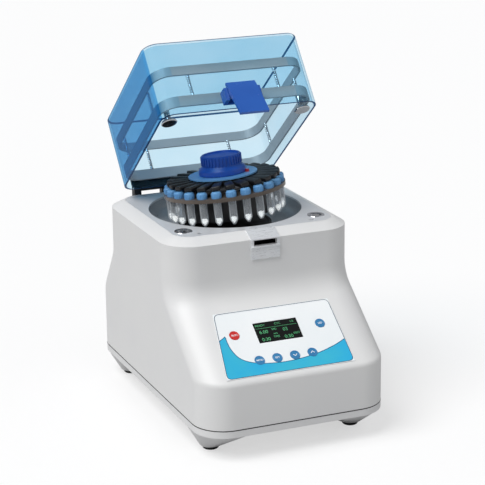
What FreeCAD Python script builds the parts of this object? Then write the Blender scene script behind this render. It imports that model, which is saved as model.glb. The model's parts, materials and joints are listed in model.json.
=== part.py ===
import FreeCAD, Part
import math
import os

import Sketcher
from FreeCAD import Placement, Rotation, Vector

# Bench bead mill: a moulded housing on four feet, a round chamber in its deck, a platter of
# screw-cap tubes that wobbles on an inclined journal, and a clear lid hinged at the rear.
# Millimetres, +Z up, +X to the operator's right, -Y towards the operator. The origin is on the
# bench, at the centre of the machine's footprint with the lid open.

SIZES = {
    "Housing": {
        "body_w": 265.0,         # overall width
        "chamber_y": 38.0,       # chamber axis, behind the origin
        "wall_front": 137.0,     # chamber axis to the upper front wall
        "wall_back": 128.4,      # chamber axis to the upper rear wall
        "panel_run": 111.0,      # horizontal run of the sloping panel
        "flare_run": 42.0,       # how far the rear foot of the housing flares out
        "corner_r": 43.5,        # plan radius of the corners
        "wall": 4.0,             # moulding thickness, measured level
        "foot_z": 5.5,           # underside of the tray's corner bosses
        "seam_z": 43.8,          # top of the tray
        "low_z": 105.5,          # foot of the sloping panel
        "fold_z": 189.0,         # head of the sloping panel
        "flare_low_z": 131.0,    # where the rear flare ends
        "flare_top_z": 192.0,    # where the rear flare starts
        "shoulder_z": 257.9,     # foot of the bevel round the deck
        "deck_z": 266.6,         # top of the deck
        "shoulder_in": 16.9,     # width of the bevel
        "fold_r": 40.0,          # softening of the fold above the panel
        "crease_r": 9.0,         # softening of the edge below the panel
        "flare_r": 28.0,         # softening of the rear flare
        "seam_gap": 0.5,         # gap between tray and housing
        "fit_gap": 0.3,          # clearance round inserted pieces
    },
    "Tray": {
        "tray_wall": 3.0,
        "tray_floor": 3.0,
        "tray_low_z": 34.0,      # underside of the tray between its corner bosses
        "boss_w": 95.0,          # corner boss across, where it meets the tray
        "boss_d": 105.0,
        "boss_foot": 14.5,       # half width of a boss at its foot
        "foot_x": 101.0,         # feet, either side of the middle
        "foot_front_y": -149.0,
        "foot_back_y": 160.0,
        "foot_r": 12.0,
        "foot_tip_r": 9.5,
        "foot_screw_r": 2.5,
    },
    "Deck": {
        "deck_plate_t": 2.5,
        "deck_rim": 2.0,         # land of housing left round the deck plate
        "top_wall": 3.0,         # moulding under the deck plate
        "bowl_r": 105.2,         # chamber radius
        "bowl_depth": 24.0,
        "bowl_wall": 2.0,
        "bowl_fillet": 14.0,
        "magnet_x": 96.0,
        "magnet_y": -51.0,
        "magnet_r": 8.0,
        "cup_r": 11.0,
        "boot_r": 64.0,
        "screw_x": 80.0,
        "screw_back_y": 141.0,
        "screw_front_y": -70.0,
    },
    "Drive": {
        "pivot_h": 24.4,         # wobble centre above the deck
        "tilt": 6.87,            # journal inclination, degrees
        "tilt_heading": 129.1,   # direction the journal leans at rest, degrees
        "shaft_r": 10.0,
        "run_gap": 0.05,         # radial clearance of a running fit
        "bearing_r": 21.0,
        "bearing_w": 12.0,
        "neck_r": 22.0,
        "barrel_r": 40.0,
        "flange_r": 52.0,
        "flange_t": 8.0,
        "chassis_t": 6.0,
        "barrel_h": 36.0,        # from the chassis underside plus plate down to the bell
        "bell_h": 56.0,
        "motor_r": 44.0,
        "motor_h": 96.0,
        "motor_shaft_r": 8.0,
        "collar_r": 20.0,
        "collar_t": 5.5,
        "post_x": 104.0,
        "post_front_y": -62.0,
        "post_back_y": 138.0,
        "post_r": 6.0,
        "isolator_r": 12.0,
        "isolator_h": 20.0,
    },
    "Platter": {
        "tube_count": 24,
        "tube_circle_r": 76.4,
        "ring_r": 84.0,
        "ring_t": 5.0,
        "tube_r": 5.4,
        "tube_wall": 0.9,
        "tube_below": 33.0,      # tube tip below the ring
        "tube_cone_h": 8.0,
        "tube_tip_r": 1.8,
        "cap_r": 6.8,
        "cap_h": 9.0,
        "drum_r": 62.0,
        "drum_h": 32.0,
        "drum_wall": 3.0,
        "sleeve_r": 34.0,
        "sleeve_h": 22.0,
        "journal_bearing_r": 20.0,
        "star_t": 7.5,
        "star_r": 78.0,
        "finger_w": 13.0,
        "star_hub_r": 48.0,
        "clamp_disc_r": 47.5,
        "clamp_disc_t": 1.8,
        "stud_r": 6.0,
        "knob_base_r": 32.6,
        "knob_grip_r": 28.3,
        "knob_h": 27.0,
        "knurl_count": 40,
    },
    "Lid": {
        "lid_open": 39.4,        # how far the lid stands open, degrees
        "lid_w": 225.2,
        "lid_front_in": 21.3,    # lid front face behind the upper front wall, closed
        "lid_h": 106.5,
        "lid_wall": 3.0,
        "lid_corner_r": 20.0,
        "lid_top_r": 3.0,
        "lid_gap": 1.5,          # rim above the deck when closed
        "hinge_in": 8.2,         # hinge axis ahead of the upper rear wall
        "hinge_up": 8.5,         # hinge axis above the deck
        "hinge_reach": 9.8,      # hinge axis behind the lid's rear face
        "hinge_pin_r": 3.0,
        "knuckle_r": 5.5,
        "band_t": 3.0,
        "lower_band_up": 11.5,   # lower band above the rim
        "lower_band_h": 15.0,
        "upper_band_up": 57.5,
        "upper_band_h": 13.0,
        "band_corner_r": 26.0,
        "band_post_r": 2.5,
        "pad_r": 11.0,
        "handle_w": 41.0,
        "handle_pin_r": 2.0,
    },
    "Latch": {
        "latch_w": 41.0,
        "latch_t": 2.0,
        "latch_drop": 35.5,      # foot of the latch plate below the deck
        "slot_w": 33.0,
        "slot_top": 9.5,         # slot below the deck
        "slot_h": 8.0,
    },
    "Panel": {
        "label_t": 0.8,
        "label_foot": 8.0,
        "label_head": 109.0,
        "label_left_foot": -99.0,
        "label_left_head": -85.0,
        "label_right_foot": 80.5,
        "label_right_head": 79.0,
        "display_x": -6.5,
        "display_s": 71.0,
        "display_w": 62.0,
        "display_h": 31.5,
        "key_r": 6.8,
        "key_gap": 0.25,
        "key_row_s": 30.2,
        "key_pitch": 24.8,
        "key_row_x": -46.4,
        "run_key_x": -67.1,
        "run_key_s": 72.7,
        "open_key_x": 54.4,
        "open_key_s": 72.4,
        "board_depth": 21.0,
        "board_t": 1.6,
    },
    "Services": {
        "inlet_x": 70.0,
        "inlet_z": 84.0,
        "module_w": 48.0,
        "module_h": 66.0,
        "module_t": 2.5,
        "fan_x": -58.0,
        "fan_z": 86.0,
        "fan_w": 60.0,
        "fan_t": 15.0,
        "fan_r": 28.0,
        "fan_hub_r": 12.0,
        "supply_w": 95.0,
        "supply_d": 60.0,
        "supply_h": 38.0,
    },
}

doc = FreeCAD.newDocument("bead_mill")


# ---------------------------------------------------------------- sizes and their formulas

class Size:
    """A length that carries the spreadsheet formula it comes from."""

    def __init__(self, number, formula):
        self.number = number
        self.formula = formula

    def __float__(self):
        return float(self.number)

    def __add__(self, other):
        return Size(float(self) + float(other), f"({text(self)} + {text(other)})")

    def __radd__(self, other):
        return Size(float(other) + float(self), f"({text(other)} + {text(self)})")

    def __sub__(self, other):
        return Size(float(self) - float(other), f"({text(self)} - {text(other)})")

    def __rsub__(self, other):
        return Size(float(other) - float(self), f"({text(other)} - {text(self)})")

    def __mul__(self, other):
        return Size(float(self) * float(other), f"({text(self)} * {text(other)})")

    def __rmul__(self, other):
        return Size(float(other) * float(self), f"({text(other)} * {text(self)})")

    def __truediv__(self, other):
        return Size(float(self) / float(other), f"({text(self)} / {text(other)})")

    def __neg__(self):
        return Size(-float(self), f"(0 - {text(self)})")


def text(value):
    return value.formula if isinstance(value, Size) else f"{float(value):.6f}"


class Sheet:
    """The spreadsheet of driving sizes; each alias becomes an attribute."""

    def __init__(self, groups):
        page = doc.addObject("Spreadsheet::Sheet", "Sizes")
        row = 1
        for group, entries in groups.items():
            page.set(f"A{row}", group)
            row += 1
            for alias, number in entries.items():
                page.set(f"A{row}", alias)
                page.set(f"B{row}", str(number))
                page.setAlias(f"B{row}", alias)
                setattr(self, alias, Size(number, f"Sizes.{alias}"))
                row += 1


S = Sheet(SIZES)
doc.recompute()

# Places that several pieces share
front_y = S.chamber_y - S.wall_front - S.panel_run
upper_front_y = S.chamber_y - S.wall_front
upper_back_y = S.chamber_y + S.wall_back
low_back_y = upper_back_y + S.flare_run
half_w = S.body_w / 2
plate_top = S.deck_z
plate_foot = S.deck_z - S.deck_plate_t
bowl_floor_z = S.deck_z - S.bowl_depth
bowl_under_z = bowl_floor_z - S.bowl_wall
chassis_top_z = bowl_under_z - S.flange_t
chassis_foot_z = chassis_top_z - S.chassis_t
barrel_foot_z = bowl_under_z - S.barrel_h
bell_foot_z = barrel_foot_z - S.bell_h
motor_foot_z = bell_foot_z - S.motor_h
tray_floor_z = S.tray_low_z + S.tray_floor
pivot_z = S.deck_z + S.pivot_h
hinge_y = upper_back_y - S.hinge_in
hinge_z = S.deck_z + S.hinge_up
rim_below = S.hinge_up - S.lid_gap              # lid rim below the hinge axis
lid_front = hinge_y - upper_front_y - S.lid_front_in    # lid front face ahead of the hinge axis
cap_top = S.ring_t + S.cap_h
disc_foot = cap_top + S.star_t + 0.4
knob_foot = disc_foot + S.clamp_disc_t

WIDE = 600.0                                    # longer than any piece, for through cuts


# ---------------------------------------------------------------- building blocks

def bind(item, prop, size):
    """Give a property its number, tied to the sheet where the size is."""
    if isinstance(size, Size):
        item.setExpression(prop, size.formula)
    else:
        setattr(item, prop, size)


def place(item, x=0.0, y=0.0, z=0.0, turn=None):
    item.Placement = Placement(Vector(float(x), float(y), float(z)), turn or Rotation())
    for letter, size in (("x", x), ("y", y), ("z", z)):
        if isinstance(size, Size):
            item.setExpression(f"Placement.Base.{letter}", size.formula)
    return item


def box(name, x, y, z, dx, dy, dz):
    item = doc.addObject("Part::Box", name)
    for prop, size in (("Length", dx), ("Width", dy), ("Height", dz)):
        bind(item, prop, size)
    return place(item, x, y, z)


TURNS = {
    "z": Rotation(),
    "x": Rotation(Vector(0, 1, 0), 90),
    "y": Rotation(Vector(1, 0, 0), -90),
}


def cylinder(name, radius, length, x=0.0, y=0.0, z=0.0, axis="z"):
    item = doc.addObject("Part::Cylinder", name)
    bind(item, "Radius", radius)
    bind(item, "Height", length)
    return place(item, x, y, z, TURNS[axis])


def fuse(name, *pieces):
    item = doc.addObject("Part::MultiFuse", name)
    item.Refine = False
    item.Shapes = list(pieces)
    return item


def cut(name, base, *tools):
    item = doc.addObject("Part::Cut", name)
    item.Refine = False
    item.Base = base
    item.Tool = tools[0] if len(tools) == 1 else fuse(name + "_tools", *tools)
    return item


def group(name, *pieces):
    item = doc.addObject("Part::Compound", name)
    item.Links = list(pieces)
    return item


def new_body(name):
    return doc.addObject("PartDesign::Body", name)


def sketch_on(body, name, role="XY_Plane", lift=0.0):
    sketch = body.newObject("Sketcher::SketchObject", name)
    support = next(f for f in body.Origin.OriginFeatures if f.Role == role)
    sketch.AttachmentSupport = [(support, "")]
    sketch.MapMode = "FlatFace"
    sketch.AttachmentOffset = Placement(Vector(0, 0, float(lift)), Rotation())
    if isinstance(lift, Size):
        sketch.setExpression("AttachmentOffset.Base.z", lift.formula)
    return sketch


def pin_point(sketch, edge, point, across, up):
    """Hold one point of a sketch at a place that follows the sheet."""
    for kind, axis, size in (("DistanceX", -2, across), ("DistanceY", -1, up)):
        if abs(float(size)) < 1e-9:
            sketch.addConstraint(Sketcher.Constraint("PointOnObject", edge, point, axis))
            continue
        datum = Sketcher.Constraint(kind, -1, 1, edge, point, float(size))
        number = sketch.addConstraint(datum)
        if isinstance(size, Size):
            sketch.setExpression(f"Constraints[{number}]", size.formula)


def outline(sketch, corners):
    """A closed outline through (across, up) corners."""
    points = [Vector(float(across), float(up), 0) for across, up in corners]
    count = len(points)
    first = sketch.GeometryCount
    for i in range(count):
        sketch.addGeometry(Part.LineSegment(points[i], points[(i + 1) % count]), False)
    for i in range(count):
        after = first + (i + 1) % count
        sketch.addConstraint(Sketcher.Constraint("Coincident", first + i, 2, after, 1))
    for i, (across, up) in enumerate(corners):
        pin_point(sketch, first + i, 1, across, up)
    return sketch


def circle(sketch, across, up, radius):
    ring = Part.Circle(Vector(float(across), float(up), 0), Vector(0, 0, 1), float(radius))
    number = sketch.addGeometry(ring, False)
    pin_point(sketch, number, 3, across, up)
    datum = sketch.addConstraint(Sketcher.Constraint("Radius", number, float(radius)))
    if isinstance(radius, Size):
        sketch.setExpression(f"Constraints[{datum}]", radius.formula)
    return sketch


def turned(name, profile):
    """A body of revolution about Z from (radius, height) corners."""
    body = new_body(name)
    sketch = outline(sketch_on(body, name + "_profile", "XZ_Plane"), profile)
    turn = body.newObject("PartDesign::Revolution", name + "_turn")
    turn.Profile = sketch
    turn.ReferenceAxis = (sketch, ["V_Axis"])
    turn.Angle = 360.0
    return body


def padded(name, corners, length, role="XY_Plane", lift=0.0, both_ways=False):
    """A straight-sided body from an outline."""
    body = new_body(name)
    sketch = outline(sketch_on(body, name + "_outline", role, lift), corners)
    pad = body.newObject("PartDesign::Pad", name + "_pad")
    pad.Profile = sketch
    bind(pad, "Length", length)
    if both_ways:
        pad.Midplane = True
    return body


def rounded_box(name, x0, x1, y0, y1, z0, height, radius):
    """A block with rounded upright corners."""
    corners = [(x0, y0), (x1, y0), (x1, y1), (x0, y1)]
    body = padded(name, corners, height, lift=z0)
    doc.recompute()
    base = body.Tip
    uprights = []
    for number, edge in enumerate(base.Shape.Edges, start=1):
        low, high = edge.BoundBox.ZMin, edge.BoundBox.ZMax
        if high - low > 0.99 * float(height) and edge.BoundBox.XLength < 1e-6:
            uprights.append(f"Edge{number}")
    soften = body.newObject("PartDesign::Fillet", name + "_corners")
    soften.Base = (base, uprights)
    bind(soften, "Radius", radius)
    return body


def copies(name, source, placements):
    """A group of separate solids, one per placement."""
    item = doc.addObject("Part::Feature", name)
    doc.recompute()
    shapes = []
    for spot in placements:
        shape = source.Shape.copy()
        shape.Placement = spot.multiply(shape.Placement)
        shapes.append(shape)
    item.Shape = Part.makeCompound(shapes)
    return item


def solid_copies(name, source, placements):
    """One piece from the source and its turned copies, joined."""
    item = doc.addObject("Part::Feature", name)
    doc.recompute()
    shapes = []
    for spot in placements:
        shape = source.Shape.copy()
        shape.Placement = spot.multiply(shape.Placement)
        shapes.append(shape)
    item.Shape = shapes[0].fuse(shapes[1:]).removeSplitter()
    return item


def around(count, radius=0.0, phase=0.0):
    """Placements evenly spaced about Z, each moved out by the radius."""
    spots = []
    for i in range(int(float(count))):
        turn = Rotation(Vector(0, 0, 1), phase + i * 360.0 / float(count))
        spots.append(Placement(turn.multVec(Vector(float(radius), 0, 0)), turn))
    return spots


def spots(*places):
    return [Placement(Vector(float(x), float(y), float(z)), Rotation()) for x, y, z in places]


nodes = {}


def node(name, item, frame=None):
    """Name a finished piece, and put it in its frame where it has one."""
    item.Label = name
    if frame is not None:
        for letter in "xyz":
            item.setExpression(f"Placement.Base.{letter}", None)
        item.Placement = frame.multiply(item.Placement)
    nodes[name] = item
    return item


# ---------------------------------------------------------------- frames of the tilted groups

heading = math.radians(float(S.tilt_heading))
tilt_axis = Vector(-math.sin(heading), math.cos(heading), 0)
platter_frame = Placement(
    Vector(0, float(S.chamber_y), float(pivot_z)), Rotation(tilt_axis, float(S.tilt)))
lid_frame = Placement(
    Vector(0, float(hinge_y), float(hinge_z)), Rotation(Vector(-1, 0, 0), float(S.lid_open)))
panel_angle = math.degrees(math.atan2(float(S.fold_z - S.low_z), float(S.panel_run)))
panel_frame = Placement(
    Vector(0, float(front_y), float(S.low_z)), Rotation(Vector(1, 0, 0), panel_angle))


# ---------------------------------------------------------------- moulded housing and tray

def soften_corners(corners, radii, steps=4):
    """Replace inner corners of a (y, z) line by points on arcs, in rising z."""
    line = [corners[0]]
    for before, here, after, radius in zip(corners, corners[1:], corners[2:], radii):
        a = Vector(here[0] - before[0], here[1] - before[1], 0).normalize()
        b = Vector(after[0] - here[0], after[1] - here[1], 0).normalize()
        bend = a.getAngle(b)
        run = radius * math.tan(bend / 2)
        start = Vector(here[0], here[1], 0) - a * run
        side = 1 if a.cross(b).z > 0 else -1
        centre = start + Vector(-a.y, a.x, 0) * radius * side
        spoke = start - centre
        for i in range(steps + 1):
            turn = Rotation(Vector(0, 0, 1), side * math.degrees(bend) * i / steps)
            point = centre + turn.multVec(spoke)
            line.append((point.x, point.y))
    return line + [corners[-1]]


def depth_at(line, z):
    for (y0, z0), (y1, z1) in zip(line, line[1:]):
        if z0 - 1e-9 <= z <= z1 + 1e-9:
            return y0 if z1 - z0 < 1e-9 else y0 + (y1 - y0) * (z - z0) / (z1 - z0)
    return line[-1][0]


def plan_outline(half, y0, y1, radius, z):
    """A rounded rectangle at one level, as a closed wire."""
    edges = []
    corners = [(half, y0, -90), (half, y1, 0), (-half, y1, 90), (-half, y0, 180)]
    arcs = []
    for x, y, start in corners:
        centre = Vector(x - math.copysign(radius, x), y + (radius if y == y0 else -radius), z)
        points = []
        for degrees in (start, start + 45, start + 90):
            angle = math.radians(degrees)
            points.append(centre + Vector(math.cos(angle), math.sin(angle), 0) * radius)
        arcs.append(points)
    for i, points in enumerate(arcs):
        edges.append(Part.Arc(*points).toShape())
        edges.append(Part.LineSegment(points[2], arcs[(i + 1) % 4][0]).toShape())
    return Part.Wire(edges)


front_line = soften_corners(
    [(float(front_y), float(S.seam_z)), (float(front_y), float(S.low_z)),
     (float(upper_front_y), float(S.fold_z)), (float(upper_front_y), float(S.shoulder_z))],
    [float(S.crease_r), float(S.fold_r)])
back_line = soften_corners(
    [(float(low_back_y), float(S.seam_z)), (float(low_back_y), float(S.flare_low_z)),
     (float(upper_back_y), float(S.flare_top_z)), (float(upper_back_y), float(S.shoulder_z))],
    [float(S.flare_r), float(S.flare_r)])


def housing_block(inset, foot, shoulder_level, top, bevel):
    """The housing's outside, or its inside when inset, lofted between levels."""
    levels = sorted({round(z, 4) for _, z in front_line + back_line if z > foot})
    levels = [foot] + [z for z in levels if z < shoulder_level - 1e-3] + [shoulder_level]
    wires = []
    for z, inward in [(z, inset) for z in levels] + [(top, inset + bevel)]:
        wires.append(plan_outline(
            float(half_w) - inward, depth_at(front_line, z) + inward,
            depth_at(back_line, z) - inward, float(S.corner_r) - inward, z))
    return Part.makeLoft(wires, True, True)


def moulding(name, shape):
    item = doc.addObject("Part::Feature", name)
    item.Shape = shape
    return item


wall = float(S.wall)
shoulder = float(S.shoulder_z)
housing_foot = float(S.seam_z + S.seam_gap)
outer = housing_block(0.0, housing_foot, shoulder, float(S.deck_z), float(S.shoulder_in))
cavity_top = float(plate_foot - S.top_wall)
bevel_in = float(S.shoulder_in) * (cavity_top - shoulder + wall / 2) / float(S.deck_z - S.shoulder_z)
inner = housing_block(wall, housing_foot - 1.0, shoulder - wall / 2, cavity_top, bevel_in)
housing_skin = moulding("housing_skin", outer.cut(inner))

deck_x = half_w - S.shoulder_in - S.deck_rim
deck_y0 = upper_front_y + S.shoulder_in + S.deck_rim
deck_y1 = upper_back_y - S.shoulder_in - S.deck_rim
deck_corner = S.corner_r - S.shoulder_in - S.deck_rim
deck_recess = rounded_box(
    "deck_recess", -deck_x, deck_x, deck_y0, deck_y1, plate_foot, 20.0, deck_corner)
bowl_hole = cylinder(
    "bowl_hole", S.bowl_r + S.bowl_wall + S.fit_gap, 40.0, 0.0, S.chamber_y, plate_foot - 20)
cup_holes = [
    cylinder(f"cup_hole_{i}", S.cup_r + S.fit_gap, 30.0, side * S.magnet_x, S.magnet_y, plate_foot - 15)
    for i, side in enumerate((-1, 1))]
slot_z = S.deck_z - S.slot_top - S.slot_h
latch_slot = box(
    "latch_slot", S.slot_w / -2, upper_front_y - 5, slot_z, S.slot_w, S.wall + 10, S.slot_h)
module_hole = box(
    "module_hole", S.inlet_x - S.module_w / 2 + 4, low_back_y - 20,
    S.inlet_z - S.module_h / 2 + 4, S.module_w - 8, 40.0, S.module_h - 8)
fan_hole = cylinder("fan_hole", S.fan_r, 40.0, S.fan_x, low_back_y - 20, S.fan_z, "y")

display_hole = box(
    "display_hole", S.display_x - S.display_w / 2, S.display_s - S.display_h / 2, -12.0,
    S.display_w, S.display_h, 20.0)
KEYS = {
    "run_key": (S.run_key_x, S.run_key_s),
    "open_key": (S.open_key_x, S.open_key_s),
    "menu_key": (S.key_row_x, S.key_row_s),
    "set_key": (S.key_row_x + S.key_pitch, S.key_row_s),
    "down_key": (S.key_row_x + S.key_pitch * 2, S.key_row_s),
    "up_key": (S.key_row_x + S.key_pitch * 3, S.key_row_s),
}
key_holes = [
    cylinder(f"{name}_hole", S.key_r + S.key_gap, 20.0, x, s, -12.0)
    for name, (x, s) in KEYS.items()]
panel_holes = fuse("panel_holes", display_hole, *key_holes)
panel_holes.Placement = panel_frame
upper_housing = cut(
    "housing_cut", housing_skin, deck_recess, bowl_hole, *cup_holes, latch_slot,
    module_hole, fan_hole, panel_holes)
node("upper_housing", upper_housing)

# Tray: a shallow pan, with a boss at each corner that narrows down to its foot
tray_low = float(S.tray_low_z)
tray_outer = Part.makeLoft([
    plan_outline(float(half_w), float(front_y), float(low_back_y), float(S.corner_r), z)
    for z in (tray_low, float(S.seam_z))], True, True)
tray_in = float(S.tray_wall)
tray_inner = Part.makeLoft([
    plan_outline(float(half_w) - tray_in, float(front_y) + tray_in, float(low_back_y) - tray_in,
                 float(S.corner_r) - tray_in, z)
    for z in (float(tray_floor_z), float(S.seam_z) + 5.0)], True, True)
FEET = [(side * S.foot_x, y) for side in (-1, 1) for y in (S.foot_front_y, S.foot_back_y)]


def corner_boss(side, end, foot_x, foot_y):
    """A solid that is flush with the tray's corner on top and just covers the foot below."""
    top_half = float(S.boss_w) / 2
    top_x = side * (float(half_w) - top_half)
    y_far = float(low_back_y) if end > 0 else float(front_y)
    y_near = y_far - end * float(S.boss_d)
    foot_half = float(S.boss_foot)
    upper = plan_outline(
        top_half, min(y_far, y_near), max(y_far, y_near), float(S.corner_r), tray_low + 0.5)
    upper.translate(Vector(top_x, 0, 0))
    lower = plan_outline(
        foot_half, float(foot_y) - foot_half, float(foot_y) + foot_half, foot_half - 1.5,
        float(S.foot_z))
    lower.translate(Vector(float(foot_x), 0, 0))
    return Part.makeLoft([lower, upper], True, True)


bosses = [
    corner_boss(1 if float(x) > 0 else -1, 1 if float(y) > 0 else -1, x, y) for x, y in FEET]
tray_solid = tray_outer.cut(tray_inner)
for boss in bosses:
    tray_solid = tray_solid.fuse(boss)
tray_skin = moulding("tray_skin", tray_solid)
foot_holes = [
    cylinder(f"foot_hole_{i}", S.foot_screw_r + 0.2, 60.0, x, y, S.foot_z - 10)
    for i, (x, y) in enumerate(FEET)]
node("base_tray", cut("tray_cut", tray_skin, *foot_holes))

foot = turned("foot_blank", [
    (S.foot_screw_r + 0.1, 2.0), (S.foot_screw_r + 0.1, S.foot_z), (S.foot_r, S.foot_z),
    (S.foot_tip_r + 1, 1.0), (S.foot_tip_r, 0.0), (0.0, 0.0), (0.0, 2.0)])
node("rubber_feet", copies("feet", foot, spots(*[(x, y, 0) for x, y in FEET])))
head_z = tray_floor_z
foot_screw = turned("foot_screw_blank", [
    (0.0, 3.0), (S.foot_screw_r, 3.0), (S.foot_screw_r, head_z), (S.foot_screw_r * 1.9, head_z),
    (S.foot_screw_r * 1.7, head_z + 3), (0.0, head_z + 3)])
node("foot_screws", copies("foot_screw_set", foot_screw, spots(*[(x, y, 0) for x, y in FEET])))


# ---------------------------------------------------------------- deck, bowl and magnets

gap = S.fit_gap
deck_blank = rounded_box(
    "deck_blank", -deck_x + gap, deck_x - gap, deck_y0 + gap, deck_y1 - gap, plate_foot,
    S.deck_plate_t, deck_corner - gap)
deck_opening = cylinder("deck_opening", S.bowl_r, 20.0, 0.0, S.chamber_y, plate_foot - 10)
deck_cup_holes = [
    cylinder(f"deck_cup_hole_{i}", S.cup_r + 0.1, 20.0, side * S.magnet_x, S.magnet_y, plate_foot - 10)
    for i, side in enumerate((-1, 1))]
DECK_SCREWS = [
    (side * S.screw_x, y) for side in (-1, 1) for y in (S.screw_front_y, S.screw_back_y)]
screw_seats = []
for i, (x, y) in enumerate(DECK_SCREWS):
    seat = doc.addObject("Part::Cone", f"screw_seat_{i}")
    seat.Radius1, seat.Radius2, seat.Height = 1.7, 3.5, 2.0
    screw_seats.append(place(seat, x, y, S.deck_z - 2))
    screw_seats.append(cylinder(f"screw_hole_{i}", 1.7, 8.0, x, y, S.deck_z - 7))
node("deck_plate", cut("deck_cut", deck_blank, deck_opening, *deck_cup_holes, *screw_seats))
deck_screw = turned("deck_screw_blank", [
    (0.0, -2.4), (1.5, -2.4), (1.5, -1.9), (3.3, -0.1), (0.0, -0.1)])
node("deck_screws", copies(
    "deck_screw_set", deck_screw, spots(*[(x, y, S.deck_z) for x, y in DECK_SCREWS])))

bowl_in = S.bowl_r
bowl_out = S.bowl_r + S.bowl_wall
bowl_lip = -S.deck_plate_t
curve = S.bowl_fillet
floor_h = -S.bowl_depth
bowl = turned("bowl", [
    (bowl_out, bowl_lip), (bowl_in, bowl_lip), (bowl_in, floor_h + curve),
    (bowl_in - curve * 0.13, floor_h + curve * 0.5), (bowl_in - curve * 0.5, floor_h + curve * 0.13),
    (bowl_in - curve, floor_h), (S.neck_r + gap, floor_h), (S.neck_r + gap, floor_h - S.bowl_wall),
    (bowl_in - curve, floor_h - S.bowl_wall),
    (bowl_out - curve * 0.5, floor_h + curve * 0.13 - S.bowl_wall),
    (bowl_out - curve * 0.13, floor_h + curve * 0.5 - S.bowl_wall), (bowl_out, floor_h + curve)])
node("chamber_bowl", place(bowl, 0.0, S.chamber_y, S.deck_z))

boot = turned("boot", [
    (S.neck_r + 0.02, 0.0), (S.boot_r, 0.0), (S.boot_r, 3.5), (S.boot_r - 3, 3.5),
    (S.boot_r - 4, 2.5), (S.boot_r - 26, 2.5), (S.boot_r - 33, 8.0), (S.neck_r + 4, 14.5),
    (S.neck_r + 0.02, 15.0)])
node("rubber_boot", place(boot, 0.0, S.chamber_y, bowl_floor_z))

cup = turned("cup_blank", [
    (0.0, -9.0), (S.cup_r, -9.0), (S.cup_r, 0.0), (S.cup_r + 1.2, 0.0), (S.cup_r + 0.8, 0.6),
    (S.magnet_r, 0.6), (S.magnet_r, -7.0), (0.0, -7.0)])
MAGNETS = [(side * S.magnet_x, S.magnet_y, S.deck_z) for side in (-1, 1)]
node("magnet_cups", copies("cup_set", cup, spots(*MAGNETS)))
magnet = turned("magnet_blank", [
    (0.0, -7.0), (S.magnet_r - 0.1, -7.0), (S.magnet_r - 0.1, -1.6), (S.magnet_r - 2.5, -1.6),
    (S.magnet_r - 3, -0.2), (0.0, 0.2)])
node("deck_magnets", copies("magnet_set", magnet, spots(*MAGNETS)))


# ---------------------------------------------------------------- drive column and motor

seat_r = S.bearing_r
barrel_foot = -S.barrel_h
seat_top = -S.barrel_h + S.bearing_w * 2 + 6
bearing_column = turned("bearing_column", [
    (seat_r, barrel_foot), (S.barrel_r, barrel_foot), (S.barrel_r, -S.flange_t),
    (S.flange_r, -S.flange_t), (S.flange_r, 0.0), (S.neck_r, 0.0), (S.neck_r, 19.0),
    (S.shaft_r + 2, 19.0), (S.shaft_r + 2, seat_top), (seat_r, seat_top)])
node("bearing_housing", place(bearing_column, 0.0, S.chamber_y, bowl_under_z))
main_bearing = turned("main_bearing_blank", [
    (S.shaft_r + S.run_gap, 0.0), (seat_r - 0.02, 0.0), (seat_r - 0.02, S.bearing_w),
    (S.shaft_r + S.run_gap, S.bearing_w)])
node("main_bearings", copies("main_bearing_set", main_bearing, spots(
    (0, S.chamber_y, barrel_foot_z + 2), (0, S.chamber_y, barrel_foot_z + S.bearing_w + 6))))

plate_x = S.post_x + 14
chassis_blank = rounded_box(
    "chassis_blank", -plate_x, plate_x, S.post_front_y - 14, S.post_back_y + 14, chassis_foot_z,
    S.chassis_t, 30.0)
POSTS = [(side * S.post_x, y) for side in (-1, 1) for y in (S.post_front_y, S.post_back_y)]
barrel_hole = cylinder(
    "barrel_hole", S.barrel_r + gap, 30.0, 0.0, S.chamber_y, chassis_foot_z - 10)
lightening = [
    cylinder(f"lightening_{i}", 12.0, 30.0, x, y, chassis_foot_z - 10)
    for i, (x, y) in enumerate([(-70, -20), (70, -20), (-70, 96), (70, 96)])]
node("chassis_plate", cut("chassis_cut", chassis_blank, barrel_hole, *lightening))
post_foot_z = tray_floor_z + S.isolator_h
post = turned("post_blank", [
    (0.0, 0.0), (S.post_r, 0.0), (S.post_r, chassis_foot_z - post_foot_z),
    (0.0, chassis_foot_z - post_foot_z)])
node("chassis_posts", copies(
    "post_set", post, spots(*[(x, y, post_foot_z) for x, y in POSTS])))
isolator = turned("isolator_blank", [
    (0.0, 0.0), (S.isolator_r, 0.0), (S.isolator_r, 3.0), (S.isolator_r - 3, S.isolator_h / 2),
    (S.isolator_r, S.isolator_h - 3), (S.isolator_r, S.isolator_h), (0.0, S.isolator_h)])
node("isolator_mounts", copies(
    "isolator_set", isolator, spots(*[(x, y, tray_floor_z) for x, y in POSTS])))

bell = turned("bell_blank", [
    (S.motor_r - 6, 0.0), (S.motor_r, 0.0), (S.motor_r, S.bell_h), (S.motor_r - 6, S.bell_h)])
place(bell, 0.0, S.chamber_y, bell_foot_z)
bell_windows = [
    box("bell_window_x", -WIDE / 2, S.chamber_y - 12, bell_foot_z + 12, WIDE, 24.0, S.bell_h - 24),
    box("bell_window_y", -12.0, S.chamber_y - 80, bell_foot_z + 12, 24.0, 160.0, S.bell_h - 24)]
node("motor_bell", cut("bell_cut", bell, *bell_windows))
shaft_hole = S.motor_shaft_r + S.run_gap
motor_can = turned("motor_can_turned", [
    (shaft_hole, 0.0), (S.motor_r, 0.0), (S.motor_r, S.motor_h), (shaft_hole, S.motor_h),
    (shaft_hole, S.motor_h - 4), (S.motor_r - 2, S.motor_h - 4), (S.motor_r - 2, 3.0),
    (shaft_hole, 3.0)])
node("motor_can", place(motor_can, 0.0, S.chamber_y, motor_foot_z))
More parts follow.
